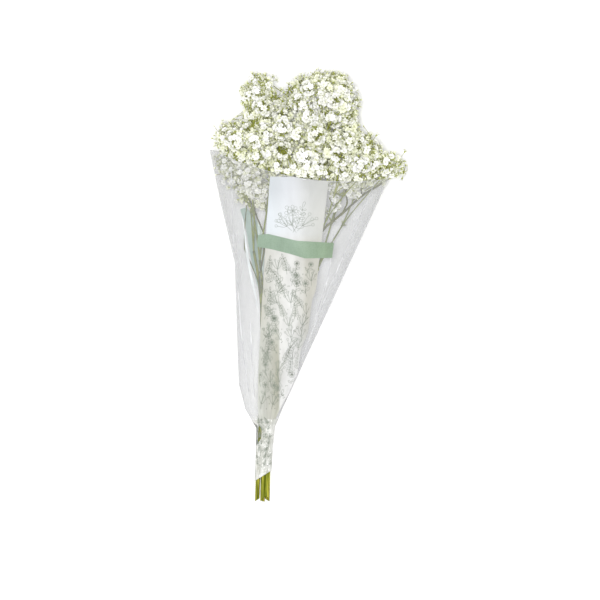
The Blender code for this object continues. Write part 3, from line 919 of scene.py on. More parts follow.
def make_studio():
    scene = bpy.context.scene
    camera = add_object("camera", bpy.data.cameras.new("camera"), VIEW_CENTRE + Vector((0, 0, CAMERA_HEIGHT)))
    camera.data.sensor_width = SENSOR
    camera.data.lens = SENSOR * CAMERA_HEIGHT / (PIXEL * FRAME_PIXELS)
    camera.data.clip_end = CLIP_END
    scene.camera = camera
    scene.view_settings.view_transform = "Standard"
    world = bpy.data.worlds.new("studio")
    world.use_nodes = True
    background = world.node_tree.nodes["Background"]
    background.inputs["Color"].default_value = (1, 1, 1, 1)
    background.inputs["Strength"].default_value = WORLD_STRENGTH
    scene.world = world
    for name, place, size, power in SOFTBOXES:
        light = bpy.data.lights.new(name, "AREA")
        light.shape = "RECTANGLE"
        light.size, light.size_y = size
        light.energy = power
        lamp = add_object(name, light, place)
        lamp.rotation_euler = (-Vector(place)).to_track_quat("-Z", "Y").to_euler()
    ground = bpy.data.meshes.new("floor")
    corners = [(x * FLOOR_REACH, y * FLOOR_REACH, 0) for x, y in ((-1, -1), (1, -1), (1, 1), (-1, 1))]
    ground.from_pydata(corners, [], [(0, 1, 2, 3)])
    floor = add_object("floor", ground)
    paper = Finish("pale_paper", Roughness=0.9)
    paper.set("Base Color", paper.ramp(paper.noise(6, 2), (0.3, 0.93), (0.7, 0.95)))
    ground.materials.append(paper.material)


# Sprays

Growth = namedtuple("Growth", "green florets buds draw")  # one spray's stalks, and where its flowers go
GREENERY_FINISHES = ("stem", "branch", "cut", "leaf", "shoot", "wisp")
STEM, BRANCH, CUT, LEAF, SHOOT, WISP = range(6)
# The last kind of petal is a darker, greener copy: painted shade for florets that lie below others
FLORET_FINISHES = ("petal", "calyx", "bud", "shaded_petal")
PETAL, CALYX, BUD, SHADED_PETAL = range(4)

LOOKS_SEED = 17
DEEP_SEED = 23
OPENNESS = (1.0, 0.95, 1.05, 0.85, 1.0, 0.65, 0.9, 0.4)  # of the kinds of floret, 1 being full bloom
CYME_FLORETS = 5
FILLER_FLORETS = 4
EDGE_FLORETS = 3  # in the airy cymes at the head's edge
TUFT_FLORETS = 4
TUFT_LENGTH = 4 * MM
FILLER_SHARE = 0.86  # size of a filling cluster over that of a main one
FILLER_SPACING = 15.5 * MM
FILLER_TRIES = 6000
FILLER_LOBE = 0.86  # share of a lobe's radii within which they are tried
FILLER_ROOM = 9 * MM  # from a filling cluster's middle to the film
FILLER_LEVELS = (15 * MM, 104 * MM)
FILLER_TWIG = 14 * MM  # least distance back to the fork that carries one
EDGE_PROBES = 16
EDGE_REACH = 46 * MM
EDGE_COSINE = 0.64  # half the width of a probe, as the cosine of its angle


def filler_clusters(sprays, draw):
    """More clusters in the head's gaps, each with a twig from the nearest fork below it, by spray."""
    taken = [site for spray in sprays for _, _, site in spray.twigs]
    forks = []
    for number, spray in enumerate(sprays):
        forks += [(number, end, (end - start).normalized()) for start, _, end, _ in spray.branches]
    probes = [Vector(way) * FILLER_ROOM for way in ((1, 0, 0), (-1, 0, 0), (0, -1, 0), (0, 0, 1), (0, 0, -1))]
    low, high = FILLER_LEVELS
    found = [[] for _ in sprays]
    for _ in range(FILLER_TRIES):
        centre, radii = draw.choice(LOBES)
        ray = Vector([draw.uniform(-1, 1) for _ in range(3)])
        point = Vector([c + r * FILLER_LOBE * share for c, r, share in zip(centre, radii, ray)]) * MM
        if ray.length > 1 or not low < point.z < high:
            continue
        if min((point - other).length for other in taken) < FILLER_SPACING:
            continue
        if not all(inside_film(point + probe) for probe in probes):
            continue
        below = [fork for fork in forks if fork[1].y < point.y - FILLER_TWIG] or forks
        number, node, heading = min(below, key=lambda fork: (fork[1] - point).length)
        taken.append(point)
        found[number].append((node, heading, point))
    return found


# Outline of the flowers as seen from above, in millimetres
HEAD_OUTLINE = (
    (-110, 159), (-108, 183), (-94, 192), (-79, 196), (-62, 206), (-73, 214), (-80, 228),
    (-66, 236), (-53, 248), (-43, 241), (-41, 221), (-27, 217), (-17, 225), (-14, 237), (-1, 250),
    (17, 252), (44, 247), (54, 230), (68, 213), (70, 188), (61, 181), (73, 166), (84, 157),
    (107, 152), (115, 140), (108, 125), (91, 123), (73, 109), (53, 98), (39, 77), (20, 63),
    (-53, 63), (-66, 91), (-85, 118), (-106, 128),
)
OUTLINE_SWELL = 1.03  # leaves room inside the outline for half a floret
STRAY_SHARE = 0.15  # share of the florets outside the outline that stay
STRAY_BUDS = 0.35  # share of the others that are small buds
STRAY_REACH = 5 * MM  # how far outside it buds are still found
THIN_RIGHT = 0.42  # share of the florets left out in the thin spray at the far right
THIN_RIGHT_X = 72 * MM
THIN_LEFT = 0.2  # and in the tuft at the upper left
THIN_LEFT_X = -40 * MM
THIN_LEFT_Y = 200 * MM


def in_outline(point):
    """Whether a floret at a point keeps within the outline of the flowers."""
    x, y = [c + (p - c) * OUTLINE_SWELL for p, c in zip(point[:2], HEAD_CENTRE[:2])]
    inside = False
    for (x1, y1), (x2, y2) in zip(HEAD_OUTLINE, HEAD_OUTLINE[1:] + HEAD_OUTLINE[:1]):
        if (y1 * MM > y) != (y2 * MM > y) and x < between(x1, x2, (y / MM - y1) / (y2 - y1)) * MM:
            inside = not inside
    return inside


def inward(point):
    """A point moved towards the middle of the head, as seen from above."""
    offset = np.array([HEAD_CENTRE.x - point[0], HEAD_CENTRE.y - point[1], 0])
    return point + unit(offset) * STRAY_REACH


def thinning(point):
    """The share of the florets that are left out round a point."""
    if point[0] > THIN_RIGHT_X:
        return THIN_RIGHT
    return THIN_LEFT if point[0] < THIN_LEFT_X and point[1] > THIN_LEFT_Y else 0


def at_edge(site, sites):
    """Whether a cluster lies on the head's outline, seen from above."""
    for k in range(EDGE_PROBES):
        turn = math.tau * k / EDGE_PROBES
        ahead = Vector((math.cos(turn), math.sin(turn), 0))
        for other in sites:
            offset = Vector((other.x - site.x, other.y - site.y, 0))
            if 1 * MM < offset.length < EDGE_REACH and offset.dot(ahead) > EDGE_COSINE * offset.length:
                break
        else:
            return True
    return False


GRID_CORNER = np.array([-118, 0]) * MM  # of the grid on which the film's heights are worked out
GRID_CELLS = (119, 81)
GRID_STEP = 2 * MM
FILM_ROOM = 3 * MM  # from a floret's middle to the film
MOST_SHIFT = 12 * MM


def film_heights():
    """Heights of the film's lower and upper layers over the grid, endless where it has no upper layer."""
    x, y = [corner + np.arange(cells) * GRID_STEP for corner, cells in zip(GRID_CORNER, GRID_CELLS)]
    place, angle = film_spots(x[:, None], y[None])
    covered = (place < LAST - 0.01) & (angle > 0.01) & (angle < math.pi - 0.01)
    floor = np.where(covered, film_points(place, -angle, 0)[..., 2], -np.inf)
    ceiling = np.where(covered, film_points(place, angle, 0)[..., 2], np.inf)
    shifts = [(i, j) for i in (-1, 0, 1) for j in (-1, 0, 1)]
    floor = np.max([np.roll(floor, shift, (0, 1)) for shift in shifts], 0)
    ceiling = np.min([np.roll(ceiling, shift, (0, 1)) for shift in shifts], 0)
    return floor, ceiling


FILM_FLOOR, FILM_CEILING = film_heights()


def within_film(point):
    """A floret's place, shifted where it would come through the film, or None far outside it."""
    column, row = np.round((np.array(point[:2]) - GRID_CORNER) / GRID_STEP).astype(int)
    if not (0 <= column < GRID_CELLS[0] and 0 <= row < GRID_CELLS[1]):
        return point
    drop = max(0, point[2] + FILM_ROOM - FILM_CEILING[column, row])
    rise = max(0, FILM_FLOOR[column, row] + FILM_ROOM - point[2])
    if max(drop, rise) > MOST_SHIFT:
        return None
    return point + np.array([0, 0, rise - drop])


def add_stalk(green, start, end, leave, arrive, radii, sides=3, finish=BRANCH):
    """A thin curved stalk, from radii in millimetres at even steps along it."""
    path = hermite(start, end, leave, arrive, len(radii))
    add_tube(green, path, np.array(radii) * MM, sides, finish)
    return path


def add_twig(green, start, heading, end, radii, rows, sides, sink=TWIG_R, bend=1.0):
    """A bar that leaves its parent along the parent's heading and bends towards its own end."""
    course = (end - start).normalized()
    path = hermite(start - heading * sink, end, heading + course * bend, course, rows)
    add_tube(green, path, np.linspace(*radii, rows), sides, BRANCH)
    return course


# Ranges of a cyme's random sizes, those of reach and rise in millimetres
FORK_AT = (0.3, 0.5)  # shares of the pedicel's length
MIDDLE_REACH, MIDDLE_RISE = (0, 1.6), (0.6, 2.8)
SIDE_REACH, SIDE_RISE = (2.6, 6.2), (-3.6, 1.8)
BUD_REACH, BUD_RISE = (5.0, 8.0), (-1.5, 4.5)
FLORET_TURN, BUD_TURN = 0.65, 0.6
FLORET_LEAN = (0.08, 0.2)
AIRY_SIZES, FULL_SIZES, BUD_SIZES = (0.72, 1.0), (0.8, 1.12), (0.75, 1.15)
STRAY_BUD_SIZE = 0.75
STALK_SPREAD = 0.6  # how far a floret's stalk leaves the fork sideways
# Depths in millimetres: of a pedicel's foot in its root, and from middles back to the stalks' ends
FOOT_DEPTH, FLORET_DEPTH, BUD_DEPTH = 0.3, 2.3, 1.2
STRAY_BUD_DEPTH, STRAY_STALK_DEPTH = 2, 3
# Radii along a cyme's stalks, in millimetres
CYME_RADII = (0.42, 0.38, 0.34)
FLORET_RADII = (0.3, 0.26, 0.26, 0.32)
STRAY_RADII = (0.3, 0.24, 0.24, 0.28)
BUD_RADII = (0.26, 0.22, 0.22, 0.26)


def grow_cyme(growth, root, direction, length, count, airy):
    """A small cyme: a forked pedicel with several florets and buds, where the solid has one floret."""
    green, florets, buds, draw = growth
    root, direction = np.array(root), np.array(direction)
    side, other = [np.array(v) for v in across(Vector(direction))]

    def outward_at(angle):
        return side * math.cos(angle) + other * math.sin(angle)

    fork = root + direction * length * draw.uniform(*FORK_AT)
    add_stalk(green, root - direction * FOOT_DEPTH * MM, fork, direction, direction, CYME_RADII, 4)
    turn = draw.uniform(0, math.tau)
    heads = [(draw.uniform(*MIDDLE_REACH), draw.uniform(*MIDDLE_RISE))]
    heads += [(draw.uniform(*SIDE_REACH), draw.uniform(*SIDE_RISE)) for _ in range(1, count)]
    for k, (reach, rise) in enumerate(heads):
        outward = outward_at(turn + math.tau * k / (count - 1) + draw.uniform(-FLORET_TURN, FLORET_TURN))
        centre = root + direction * (length + rise * MM) + outward * reach * MM
        facing = unit(direction + outward * reach * draw.uniform(*FLORET_LEAN))
        size = draw.uniform(*(AIRY_SIZES if airy else FULL_SIZES))
        spin = draw.uniform(0, math.tau)
        leave = direction + outward * STALK_SPREAD
        if draw.random() < thinning(centre):
            continue
        if not in_outline(centre) and draw.random() > STRAY_SHARE:
            if draw.random() < STRAY_BUDS and in_outline(inward(centre)):
                buds.append((centre - facing * STRAY_BUD_DEPTH * MM, facing, spin, STRAY_BUD_SIZE * size))
                end = centre - facing * STRAY_STALK_DEPTH * MM
                add_stalk(green, fork, end, leave, facing, STRAY_RADII)
            continue
        centre = within_film(centre)
        if centre is not None:
            florets.append((centre, facing, spin, size))
            end = centre - facing * FLORET_DEPTH * MM * size
            add_stalk(green, fork, end, leave, facing, FLORET_RADII)
    bud_count = 3 if airy else 2
    for k in range(bud_count):
        outward = outward_at(turn + math.tau * (k + 0.5) / bud_count + draw.uniform(-BUD_TURN, BUD_TURN))
        rise, reach = draw.uniform(*BUD_RISE), draw.uniform(*BUD_REACH)
        centre = root + direction * (length + rise * MM) + outward * reach * MM
        facing = unit(centre - fork)
        if not in_outline(inward(centre)):
            continue
        size = draw.uniform(*BUD_SIZES)
        centre = within_film(centre)
        if centre is not None:
            buds.append((centre, facing, 0.0, size))
            end = centre - facing * BUD_DEPTH * MM
            add_stalk(green, fork, end, direction + outward, facing, BUD_RADII)


# Shoots that show through the film beside the print: spray, radii at the foot and the tip, path
SHOOTS = (
    ("front_right", (1.55, 1.0), ((5, 42, 56), (18, 66.5, 61), (40, 84, 62), (64, 106, 57), (86, 119, 53))),
    ("front_right", (1.0, 0.7), ((40, 84, 62), (46, 96, 64), (44, 112, 66), (46, 122, 67))),
    ("front_right", (0.8, 0.6), ((52, 95, 60), (62, 104, 60), (62, 122, 62))),
    ("front_right", (0.8, 0.5), ((31, 77, 62), (31, 90, 65), (25, 102, 68))),
    (
        "front_left",
        (1.2, 0.7),
        ((-54.7, 15, 49.5), (-50, 42, 52), (-50, 60, 54), (-60, 84, 56), (-64, 103, 56)),
    ),
    ("front_left", (0.9, 0.5), ((-62, 92, 56), (-72, 106, 54), (-84, 122, 51), (-93, 134, 50))),
    (
        "front_left",
        (0.6, 0.5),
        ((-54.2, -8, 43), (-57, 6, 45), (-66, 28, 47), (-73.5, 44, 48), (-72, 77, 52), (-69, 104, 56)),
    ),
)
SHOOT_ROWS = 40
SHOOT_SIDES = 7
SHOOT_NODE_RISE = 0.45  # over the radius at the tip
SHOOT_NODE_REACH = 0.02  # over the shoot's length
TIP_ROWS = range(8, SHOOT_ROWS, 4)  # of the places where tufts may start
TUFT_RADII = (0.5 * MM, 0.35 * MM)
TUFTS = {  # florets at the shoots: spray, then places in millimetres
    "front_right": (
        (6, 133, 106), (15, 132, 105), (23, 134, 102), (-3, 132, 107), (10, 137, 108), (0, 137, 109),
        (27, 110, 69), (30, 100, 68), (25, 87, 65), (37, 117, 70), (36, 104, 68), (47, 110, 68),
        (58, 107, 62), (52, 98, 62), (63, 120, 62), (75, 119, 57), (44, 120, 70), (55, 117, 66),
        (31, 93, 66),
    ),
    "front_left": (
        (-72, 108, 57), (-84, 120, 54), (-64, 104, 60), (-78, 112, 58), (-92, 132, 52), (-60, 97, 58),
        (-12, 132, 107), (-21, 133, 106), (-30, 133, 105), (-39, 133, 101), (-17, 137, 108),
        (-34, 138, 106),
    ),
}


def add_shoot(green, radii, path):
    """A smooth bar with swollen nodes. Gives places along it, and its headings there."""
    path = np.array(path) * MM
    run, fine = np.linspace(0, 1, len(path)), np.linspace(0, 1, SHOOT_ROWS)
    course = np.stack([np.interp(fine, run, path[:, k]) for k in range(3)], -1)
    for _ in range(3):
        course[1:-1] = (course[:-2] + 2 * course[1:-1] + course[2:]) / 4
    thickness = np.linspace(*radii, SHOOT_ROWS) * MM
    for place in run[1:-1]:
        thickness = thickness + SHOOT_NODE_RISE * radii[1] * MM * bell(fine, place, SHOOT_NODE_REACH)
    add_tube(green, course, thickness, SHOOT_SIDES, SHOOT)
    return [(Vector(course[k]), Vector(course[k] - course[k - 1]).normalized()) for k in TIP_ROWS]


def add_side_shoots(growth, name, ends):
    """The shoots of one spray, and the small tufts that they and its twigs' ends carry."""
    tips = []
    for spray, radii, path in SHOOTS:
        if spray == name:
            tips += add_shoot(growth.green, radii, path)
    tips += ends
    for tuft in TUFTS.get(name, ()):
        site = Vector(tuft) * MM
        foot, heading = min(tips, key=lambda tip: (tip[0] - site).length)
        course = add_twig(growth.green, foot, heading, site, TUFT_RADII, 6, 5, sink=0)
        upward = (course + Vector((0, 0, 0.5))).normalized()
        grow_cyme(growth, site, upward, TUFT_LENGTH, TUFT_FLORETS, True)


WISPS = 5  # thin pedicels at each cluster on the head's edge
WISP_REACH = 30 * MM
WISP_FLOWERS = 0.6  # share that end in a floret
WISP_TURN = 1.3  # most, to either side of straight out
WISP_LIFTS = (-0.15, 0.35)
WISP_START, WISP_STEP = 6 * MM, 1.5 * MM  # of the search for the head's outline
WISP_PAST = (0, 5)  # millimetres beyond it
WISP_SIZES, WISP_BUD_SIZES = (0.6, 0.9), (0.7, 1.0)
WISP_BUD_SIDE, WISP_BUD_AHEAD = (2.5, 5.0), (1, 4)  # millimetres from the pedicel's middle
WISP_RADII = np.linspace(0.36, 0.24, 6)
WISP_BUD_RADII = (0.22,) * 4


def add_wisps(growth, site):
    """Thin pedicels that stand a little out of the head at its edge, each with a floret or bud at its tip."""
    green, florets, buds, draw = growth
    away = Vector((site.x - HEAD_CENTRE.x, site.y - HEAD_CENTRE.y, 0)).normalized()
    for _ in range(WISPS):
        turn = draw.uniform(-WISP_TURN, WISP_TURN)
        c, s = math.cos(turn), math.sin(turn)
        ahead = Vector((away.x * c - away.y * s, away.x * s + away.y * c, draw.uniform(*WISP_LIFTS)))
        reach = WISP_START
        while reach < WISP_REACH and in_outline(site + ahead * reach):
            reach += WISP_STEP
        reach += draw.uniform(*WISP_PAST) * MM
        flowers, bud_size = draw.random() < WISP_FLOWERS, draw.uniform(*WISP_BUD_SIZES)
        if reach > WISP_REACH:
            continue
        tip = np.array(site + ahead * reach)
        facing = unit(np.array(ahead) + np.array([0, 0, 0.5]))
        leave = ahead + Vector((0, 0, 0.3))
        path = add_stalk(green, site, tip - facing * 2 * MM, leave, Vector(facing), WISP_RADII, 3, WISP)
        if flowers:
            florets.append((tip, facing, draw.uniform(0, math.tau), draw.uniform(*WISP_SIZES)))
        else:
            buds.append((tip, facing, 0.0, bud_size))
        side = unit(np.cross(facing, (0.2, 0.1, 1.0))) * draw.choice((-1, 1))
        knee = path[3]
        bud_at = knee + side * draw.uniform(*WISP_BUD_SIDE) * MM
        bud_at += np.array(ahead) * draw.uniform(*WISP_BUD_AHEAD) * MM
        buds.append((bud_at, unit(bud_at - knee), 0.0, bud_size))
        add_stalk(green, knee, bud_at, ahead, Vector(side), WISP_BUD_RADII, 3, WISP)


OVERHANG_CELL = 4.5 * MM
OVERHANG_DROP = 7 * MM  # how far below another a floret has to lie to be shaded by it


def overhung(centres):
    """Which florets lie well below another one of their spray, and so in its green shade, which their petals
    show as painted shade.
    """
    cells = [(int(c[0] // OVERHANG_CELL), int(c[1] // OVERHANG_CELL)) for c in centres]
    tops = {}
    for (column, row), centre in zip(cells, centres):
        for i in (column - 1, column, column + 1):
            for j in (row - 1, row, row + 1):
                tops[i, j] = max(tops.get((i, j), 0), centre[2])
    return [tops[cell] > centre[2] + OVERHANG_DROP for cell, centre in zip(cells, centres)]


STEM_SWELL = 1.1  # the solids' stems are seven-sided, so their flats lie inside the round stems
STEM_ROWS = 46
STEM_SIDES = 12
NODE_SHARES = (0.16, 0.45, 0.72)  # of the way up a stem
NODE_RISE = 0.55 * MM
NODE_REACH = 3.2 * MM
BOWS = {"back_left": 6.0 * MM, "front_left": 3.5 * MM}  # to the right, so that they go behind the print
HUDDLES = {"front_right": -1.2 * MM, "front_left": 0.5 * MM}  # to the right at the cut
# Waves along a stem: axis, reach, length, and phase for each metre of the cut's X
WAVES = ((0, 0.35 * MM, 19 * MM, 900), (2, 0.25 * MM, 23 * MM, 700))
SWELLING = np.array([0.8, 1.15, 1.4, 1.1, 0.6])  # of a branch at the fork where it ends
LEAF_ROWS = 5
BIG_LEAF = 9.5 * MM
SMALL_LEAF = 5.0 * MM
LEAF_LENGTHS = (0.8, 1.1)
LEAF_WIDTH = 0.27  # over its length
LEAF_DROOP = 0.25  # over its length, at the tip
LEAF_FOLD = 0.35  # rise of the edges over half the width


def add_stem(green, spray, name):
    """A bowed stem with swollen nodes and a slanting cut, whose end has a finish of its own."""
    stem, top = spray.stem, spray.crown.y
    heights = np.linspace(stem.cut_y, top, STEM_ROWS)
    path = np.array([axis_point(stem, y) for y in heights])
    share = np.clip((heights - NECK_Y) / (top - NECK_Y), 0, 1)
    radii = STEM_R * STEM_SWELL + (CROWN_R - STEM_R * STEM_SWELL) * share
    for node in NODE_SHARES:
        radii = radii + NODE_RISE * bell(heights, between(stem.cut_y, top, node), NODE_REACH)
    path[:, 0] += BOWS.get(name, 0) * np.sin(math.pi * share**1.6)
    path[:, 0] += HUDDLES.get(name, 0) * np.clip((NECK_Y - heights) / (NECK_Y - CUT_Y), 0, 1)
    for axis, reach, length, phase in WAVES:
        path[:, axis] += reach * np.sin(heights / length + stem.cut_x * phase)
    add_tube(green, path, radii, STEM_SIDES, STEM)
    bar, cap = green.points[:2]
    end = bar[:STEM_SIDES]
    end[:, 1] += (end[:, 0] - path[0, 0]) * stem.cut_slope
    cap[1:] = end
    green.finishes[1][:] = CUT


def add_leaf(shape, node, along, length):
    """A narrow pointed leaf with a folded midrib, curving outwards."""
    along = Vector(along).normalized()
    flat, up = across(along)
    points, places = [], []
    for k in range(LEAF_ROWS):
        t = k / (LEAF_ROWS - 1)
        rounding = math.sin(math.pi * min(1, 0.12 + 0.88 * t)) ** 0.8
        half = length * LEAF_WIDTH / 2 * rounding * (1 - 0.15 * t)
        middle = Vector(node) + along * length * t - up * length * LEAF_DROOP * t * t
        for side in (-1, 0, 1):
            points.append(middle + flat * half * side + up * half * LEAF_FOLD * abs(side))
            places.append((t, (side + 1) / 2))
    shape.add(points, places, grid_faces(LEAF_ROWS, 3), LEAF)


def add_branches(green, spray, draw):
    """The branches, swollen at their forks, with a pair of bracts at each fork."""
    for start, heading, end, carried in spray.branches:
        radius = TWIG_R * carried**BRANCH_POWER
        course = add_twig(green, start, heading, end, (radius, radius * 0.8), 8, 7, radius, 0.8)
        reach = course * radius * 1.7
        add_tube(green, hermite(end - reach, end + reach, course, course, 5), radius * SWELLING, 7, BRANCH)
    for (start, _, end, carried), turn in zip(spray.branches, spray.bracts):
        course = (end - start).normalized()
        side, other = across(course)
        if turn is None:
            turn = draw.uniform(0, math.tau)
        for half_turn in (0, math.pi):
            out = side * math.cos(turn + half_turn) + other * math.sin(turn + half_turn)
            length = (BIG_LEAF if carried > 2 else SMALL_LEAF) * draw.uniform(*LEAF_LENGTHS)
            add_leaf(green, end, course * 0.7 + out, length)


def add_clusters(growth, spray, fillers, sites):
    """The spray's own clusters of cymes, and those that fill the gaps."""
    green = growth.green
    for (start, heading, site), places in zip(spray.twigs, spray.clusters):
        add_twig(green, start, heading, site, (TWIG_R, TWIG_R * 0.75), 7, 6)
        airy = at_edge(site, sites)
        if airy:
            add_wisps(growth, site)
        for root, direction, length in places:
            grow_cyme(growth, root, direction, length, EDGE_FLORETS if airy else CYME_FLORETS, airy)
    for node, heading, site in fillers:
        add_twig(green, node, heading, site, (TWIG_R * 0.8, TWIG_R * 0.6), 7, 5)
        airy = at_edge(site, sites)
        count = EDGE_FLORETS if airy else FILLER_FLORETS
        for root, direction, length in cluster_places(node, site, growth.draw):
            grow_cyme(growth, root, direction, length * FILLER_SHARE, count, airy)


def build_spray(spray, fillers, sites, templates, finishes, draw):
    name = f"{spray.stem.row}_{spray.stem.column}"
    growth = Growth(Shape(), [], [], draw)
    green, florets, buds, _ = growth
    add_stem(green, spray, name)
    add_branches(green, spray, draw)
    add_clusters(growth, spray, fillers, sites)
    ends = [(site, (site - start).normalized()) for start, _, site in spray.twigs]
    add_side_shoots(growth, name, ends)
    heads = Shape()
    draw.shuffle(florets)
    deep = overhung([floret[0] for floret in florets])
    # Florets in the shade of others get the petals in painted shade
    for wanted, finish in ((False, PETAL), (True, SHADED_PETAL)):
        for k, (petals, calyx) in enumerate(templates[wanted]):
            kind = slice(k, None, len(OPENNESS))
            chosen = [floret for floret, low in zip(florets[kind], deep[kind]) if low == wanted]
            if chosen:
                scatter(heads, petals, chosen, finish)
                scatter(heads, calyx, chosen, CALYX)
    scatter(heads, round_template(BUD_RINGS), buds, BUD)
    for shape, label, kinds in ((green, "greenery", GREENERY_FINISHES), (heads, "florets", FLORET_FINISHES)):
        piece = shape.build(f"{label}_{name}", [finishes[kind] for kind in kinds])
        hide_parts(f"spray_{name}")


# Film and print

FILM_ROWS = 240
FILM_COLUMNS = 144
# Heights of the print over the film's inner face
STRIP_LIFT = FILM + 0.15 * MM
BANNER_LIFT = FILM + 0.35 * MM
TAIL_PRINT_LIFT = FILM + 0.4 * MM
BUNCH_LIFT = FILM + 0.5 * MM
LINE_LIFT = FILM + 0.6 * MM
TAIL_LINE_LIFT = FILM + 1.2 * MM
PANEL_LIFT = -0.12 * MM
# And of the paler crease lines and of the painted highlight on a crease
FOLD_LIFT = FILM / 2 + 0.12 * MM
SEAM_LIFT = FILM / 2 + 0.15 * MM
GLINT_LIFT = FILM / 2 + 0.2 * MM

# Edges of the printed patches and of the highlight on a crease, from above, in millimetres
STRIP_LEFT = (
    (-43.3, 126.5), (-47.9, 60.6), (-51.4, -4), (-52.6, -15.6), (-57.2, -103.4), (-57.2, -145),
    (-56.0, -160),
)
STRIP_RIGHT = (
    (24.8, 125.3), (17.9, 66.4), (13.3, 29.5), (9.8, -4), (5.2, -15.6), (0.6, -52.6), (-7.5, -72.2),
    (-12.1, -106.8), (-28.3, -135.7), (-41.0, -160),
)
BANNER = (
    ((-58.3, 45.6), (-43.3, 43.3), (-20.2, 37.5), (-2.9, 32.3), (28.3, 32.9)),
    ((-57.2, 59.5), (-45.6, 60.6), (-12.1, 52.6), (30.6, 50.2)),
)
PANEL = (
    ((-78, 85), (-71.8, 65.7), (-68.3, 44.5), (-63.9, 21.6), (-58.6, 0.3), (-53.7, -9.8)),
    ((-71, 86), (-59.5, 71), (-50.2, 53.7), (-47.9, 42.2), (-50.6, 21.6), (-51.5, 0.6), (-52, -9.8)),
)
GLINT = (
    ((-76.8, 82.6), (-74.5, 69.3), (-71.6, 40), (-67, 13.6), (-61.2, -13.9), (-58.3, -29.5)),
    ((-74.9, 82.6), (-72, 66.4), (-68.6, 40), (-64, 13.6), (-57.7, -13.9), (-55.4, -29.5)),
)
FOLD_LINES = (
    ((-88.4, 138), (-87.2, 117.2), (-86.4, 80), (-85.6, 44)),
    ((-80.6, 6), (-77.8, -40), (-74.5, -78), (-68.0, -122)),
    ((78, 121), (46, 46), (26, 0), (4, -56), (-14, -100), (-27, -132)),
    ((30, 60), (24, 10), (8, -40)),
    ((-66, -40), (-64, -90), (-61, -128)),
)


def build_film(finish):
    places = np.linspace(0, LAST, FILM_ROWS)[:, None]
    angles = (np.arange(FILM_COLUMNS) * math.tau / FILM_COLUMNS)[None]
    shape = Shape()
    faces = grid_faces(FILM_ROWS, FILM_COLUMNS, closed=True)
    shape.add(film_points(places, angles, FILM / 2), paired(places / LAST, angles / math.tau), faces)
    sleeve = shape.build("sleeve_film", [finish])
    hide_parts("film_sleeve")


def loop(length, width, turn, at):
    """A closed leaf or petal outline that starts at a point and stands along the turn."""
    t = np.linspace(0, math.tau, 11)
    x = width / 2 * np.sin(t) * (1 - 0.25 * np.cos(t))
    y = length / 2 * (1 - np.cos(t))
    c, s = math.cos(turn), math.sin(turn)
    return np.stack([at[0] + x * c - y * s, at[1] + x * s + y * c], -1)


def fern_lines():
    lines = [np.array([(0, 0), (0.7, 5), (0.5, 10), (-0.6, 15)])]
    for k in range(5):
        at = (0.7 - 0.25 * k, 3.2 + 2.5 * k)
        size = 4.2 - 0.45 * k
        lines += [loop(size, size * 0.4, side * 0.95, at) for side in (-1, 1)]
    return lines + [loop(3.2, 1.3, 0.1, (-0.6, 15))]


def daisy_lines():
    stalk = np.array([(0, 0), (-0.8, 4), (-0.4, 8.6)])
    leaves = [loop(4, 1.5, 0.9, (-0.7, 3)), loop(4.4, 1.6, -1.0, (-0.8, 4.6))]
    return [stalk] + leaves + [loop(2.9, 1.7, math.tau * k / 7, (-0.3, 10.6)) for k in range(7)]


def berry_lines():
    fork = (0.3, 4.5)
    lines = [np.array([(0, 0), fork])]
    for x, y in ((-3.6, 9.5), (-1.2, 11.6), (1.6, 10.4), (4.0, 8.4), (3.2, 12.6)):
        lines += [np.array([fork, (x * 0.45, y * 0.62), (x, y)]), loop(1.9, 1.8, x * -0.12, (x, y))]
    return lines


FERN, DAISY, BERRY = range(3)
# The bunch drawn over the banner: motifs, each with its place, turn and size
BUNCH = (
    (FERN, (-17, 62), -0.42, 2.1),
    (BERRY, (-13, 62), 0.62, 2.2),
    (DAISY, (-15.5, 64), 0.04, 2.2),
    (BERRY, (-18, 64), 0.9, 1.7),
    (BERRY, (-12, 64), -0.75, 1.9),
)
# Layout of the drawings: places and gaps in millimetres, turns in radians
STRIP_ROWS = np.arange(14.0, -150, -13.0)
ROW_START, ROW_SHIFT = 3, 6.0  # from the strip's left edge, and more in every other row
MOTIF_GAPS = (10.5, 13.0)
MOTIF_SIZES, TAIL_MOTIF_SIZE = (1.15, 1.5), 0.55
MOTIF_TURN, TAIL_MOTIF_TURN = 0.6, 0.8
DOT_REACH, TAIL_DOT_REACH = 4.5, 2.6
TAIL_ROWS = np.arange(-160.0, -212, -8.0)
TAIL_COLUMNS = (-57, -51.5, -46)
EDGE_ROOM = 0.6  # from the drawings to the strip's edge
FOLD_X = -33.0  # right of this and below the next, the strip is folded and its lines are finer
FOLD_TOP = -62.0
FINE_LINE, FOLDED_LINE, BROAD_LINE = 0.32 * MM, 0.34 * MM, 0.4 * MM
LINE_STEP, TAIL_LINE_STEP = 1.1 * MM, 0.8 * MM


def placed(lines, at, turn, size):
    c, s = math.cos(turn), math.sin(turn)
    return [(line @ np.array([[c, s], [-s, c]]) * size + np.array(at)) * MM for line in lines]


def strip_edges(y):
    """X of the strip's left and right edges at a height, in millimetres."""
    left, right = np.array(STRIP_LEFT)[::-1].T, np.array(STRIP_RIGHT)[::-1].T
    return np.interp(y, left[1], left[0]), np.interp(y, right[1], right[0])


def dots(draw, centre, reach):
    """Two small rings at random round a place."""
    found = []
    for _ in range(2):
        at = (centre[0] + draw.uniform(-reach, reach), centre[1] + draw.uniform(-reach, reach))
        found.append(loop(1.3, 1.2, draw.uniform(0, math.tau), at) * MM)
    return found


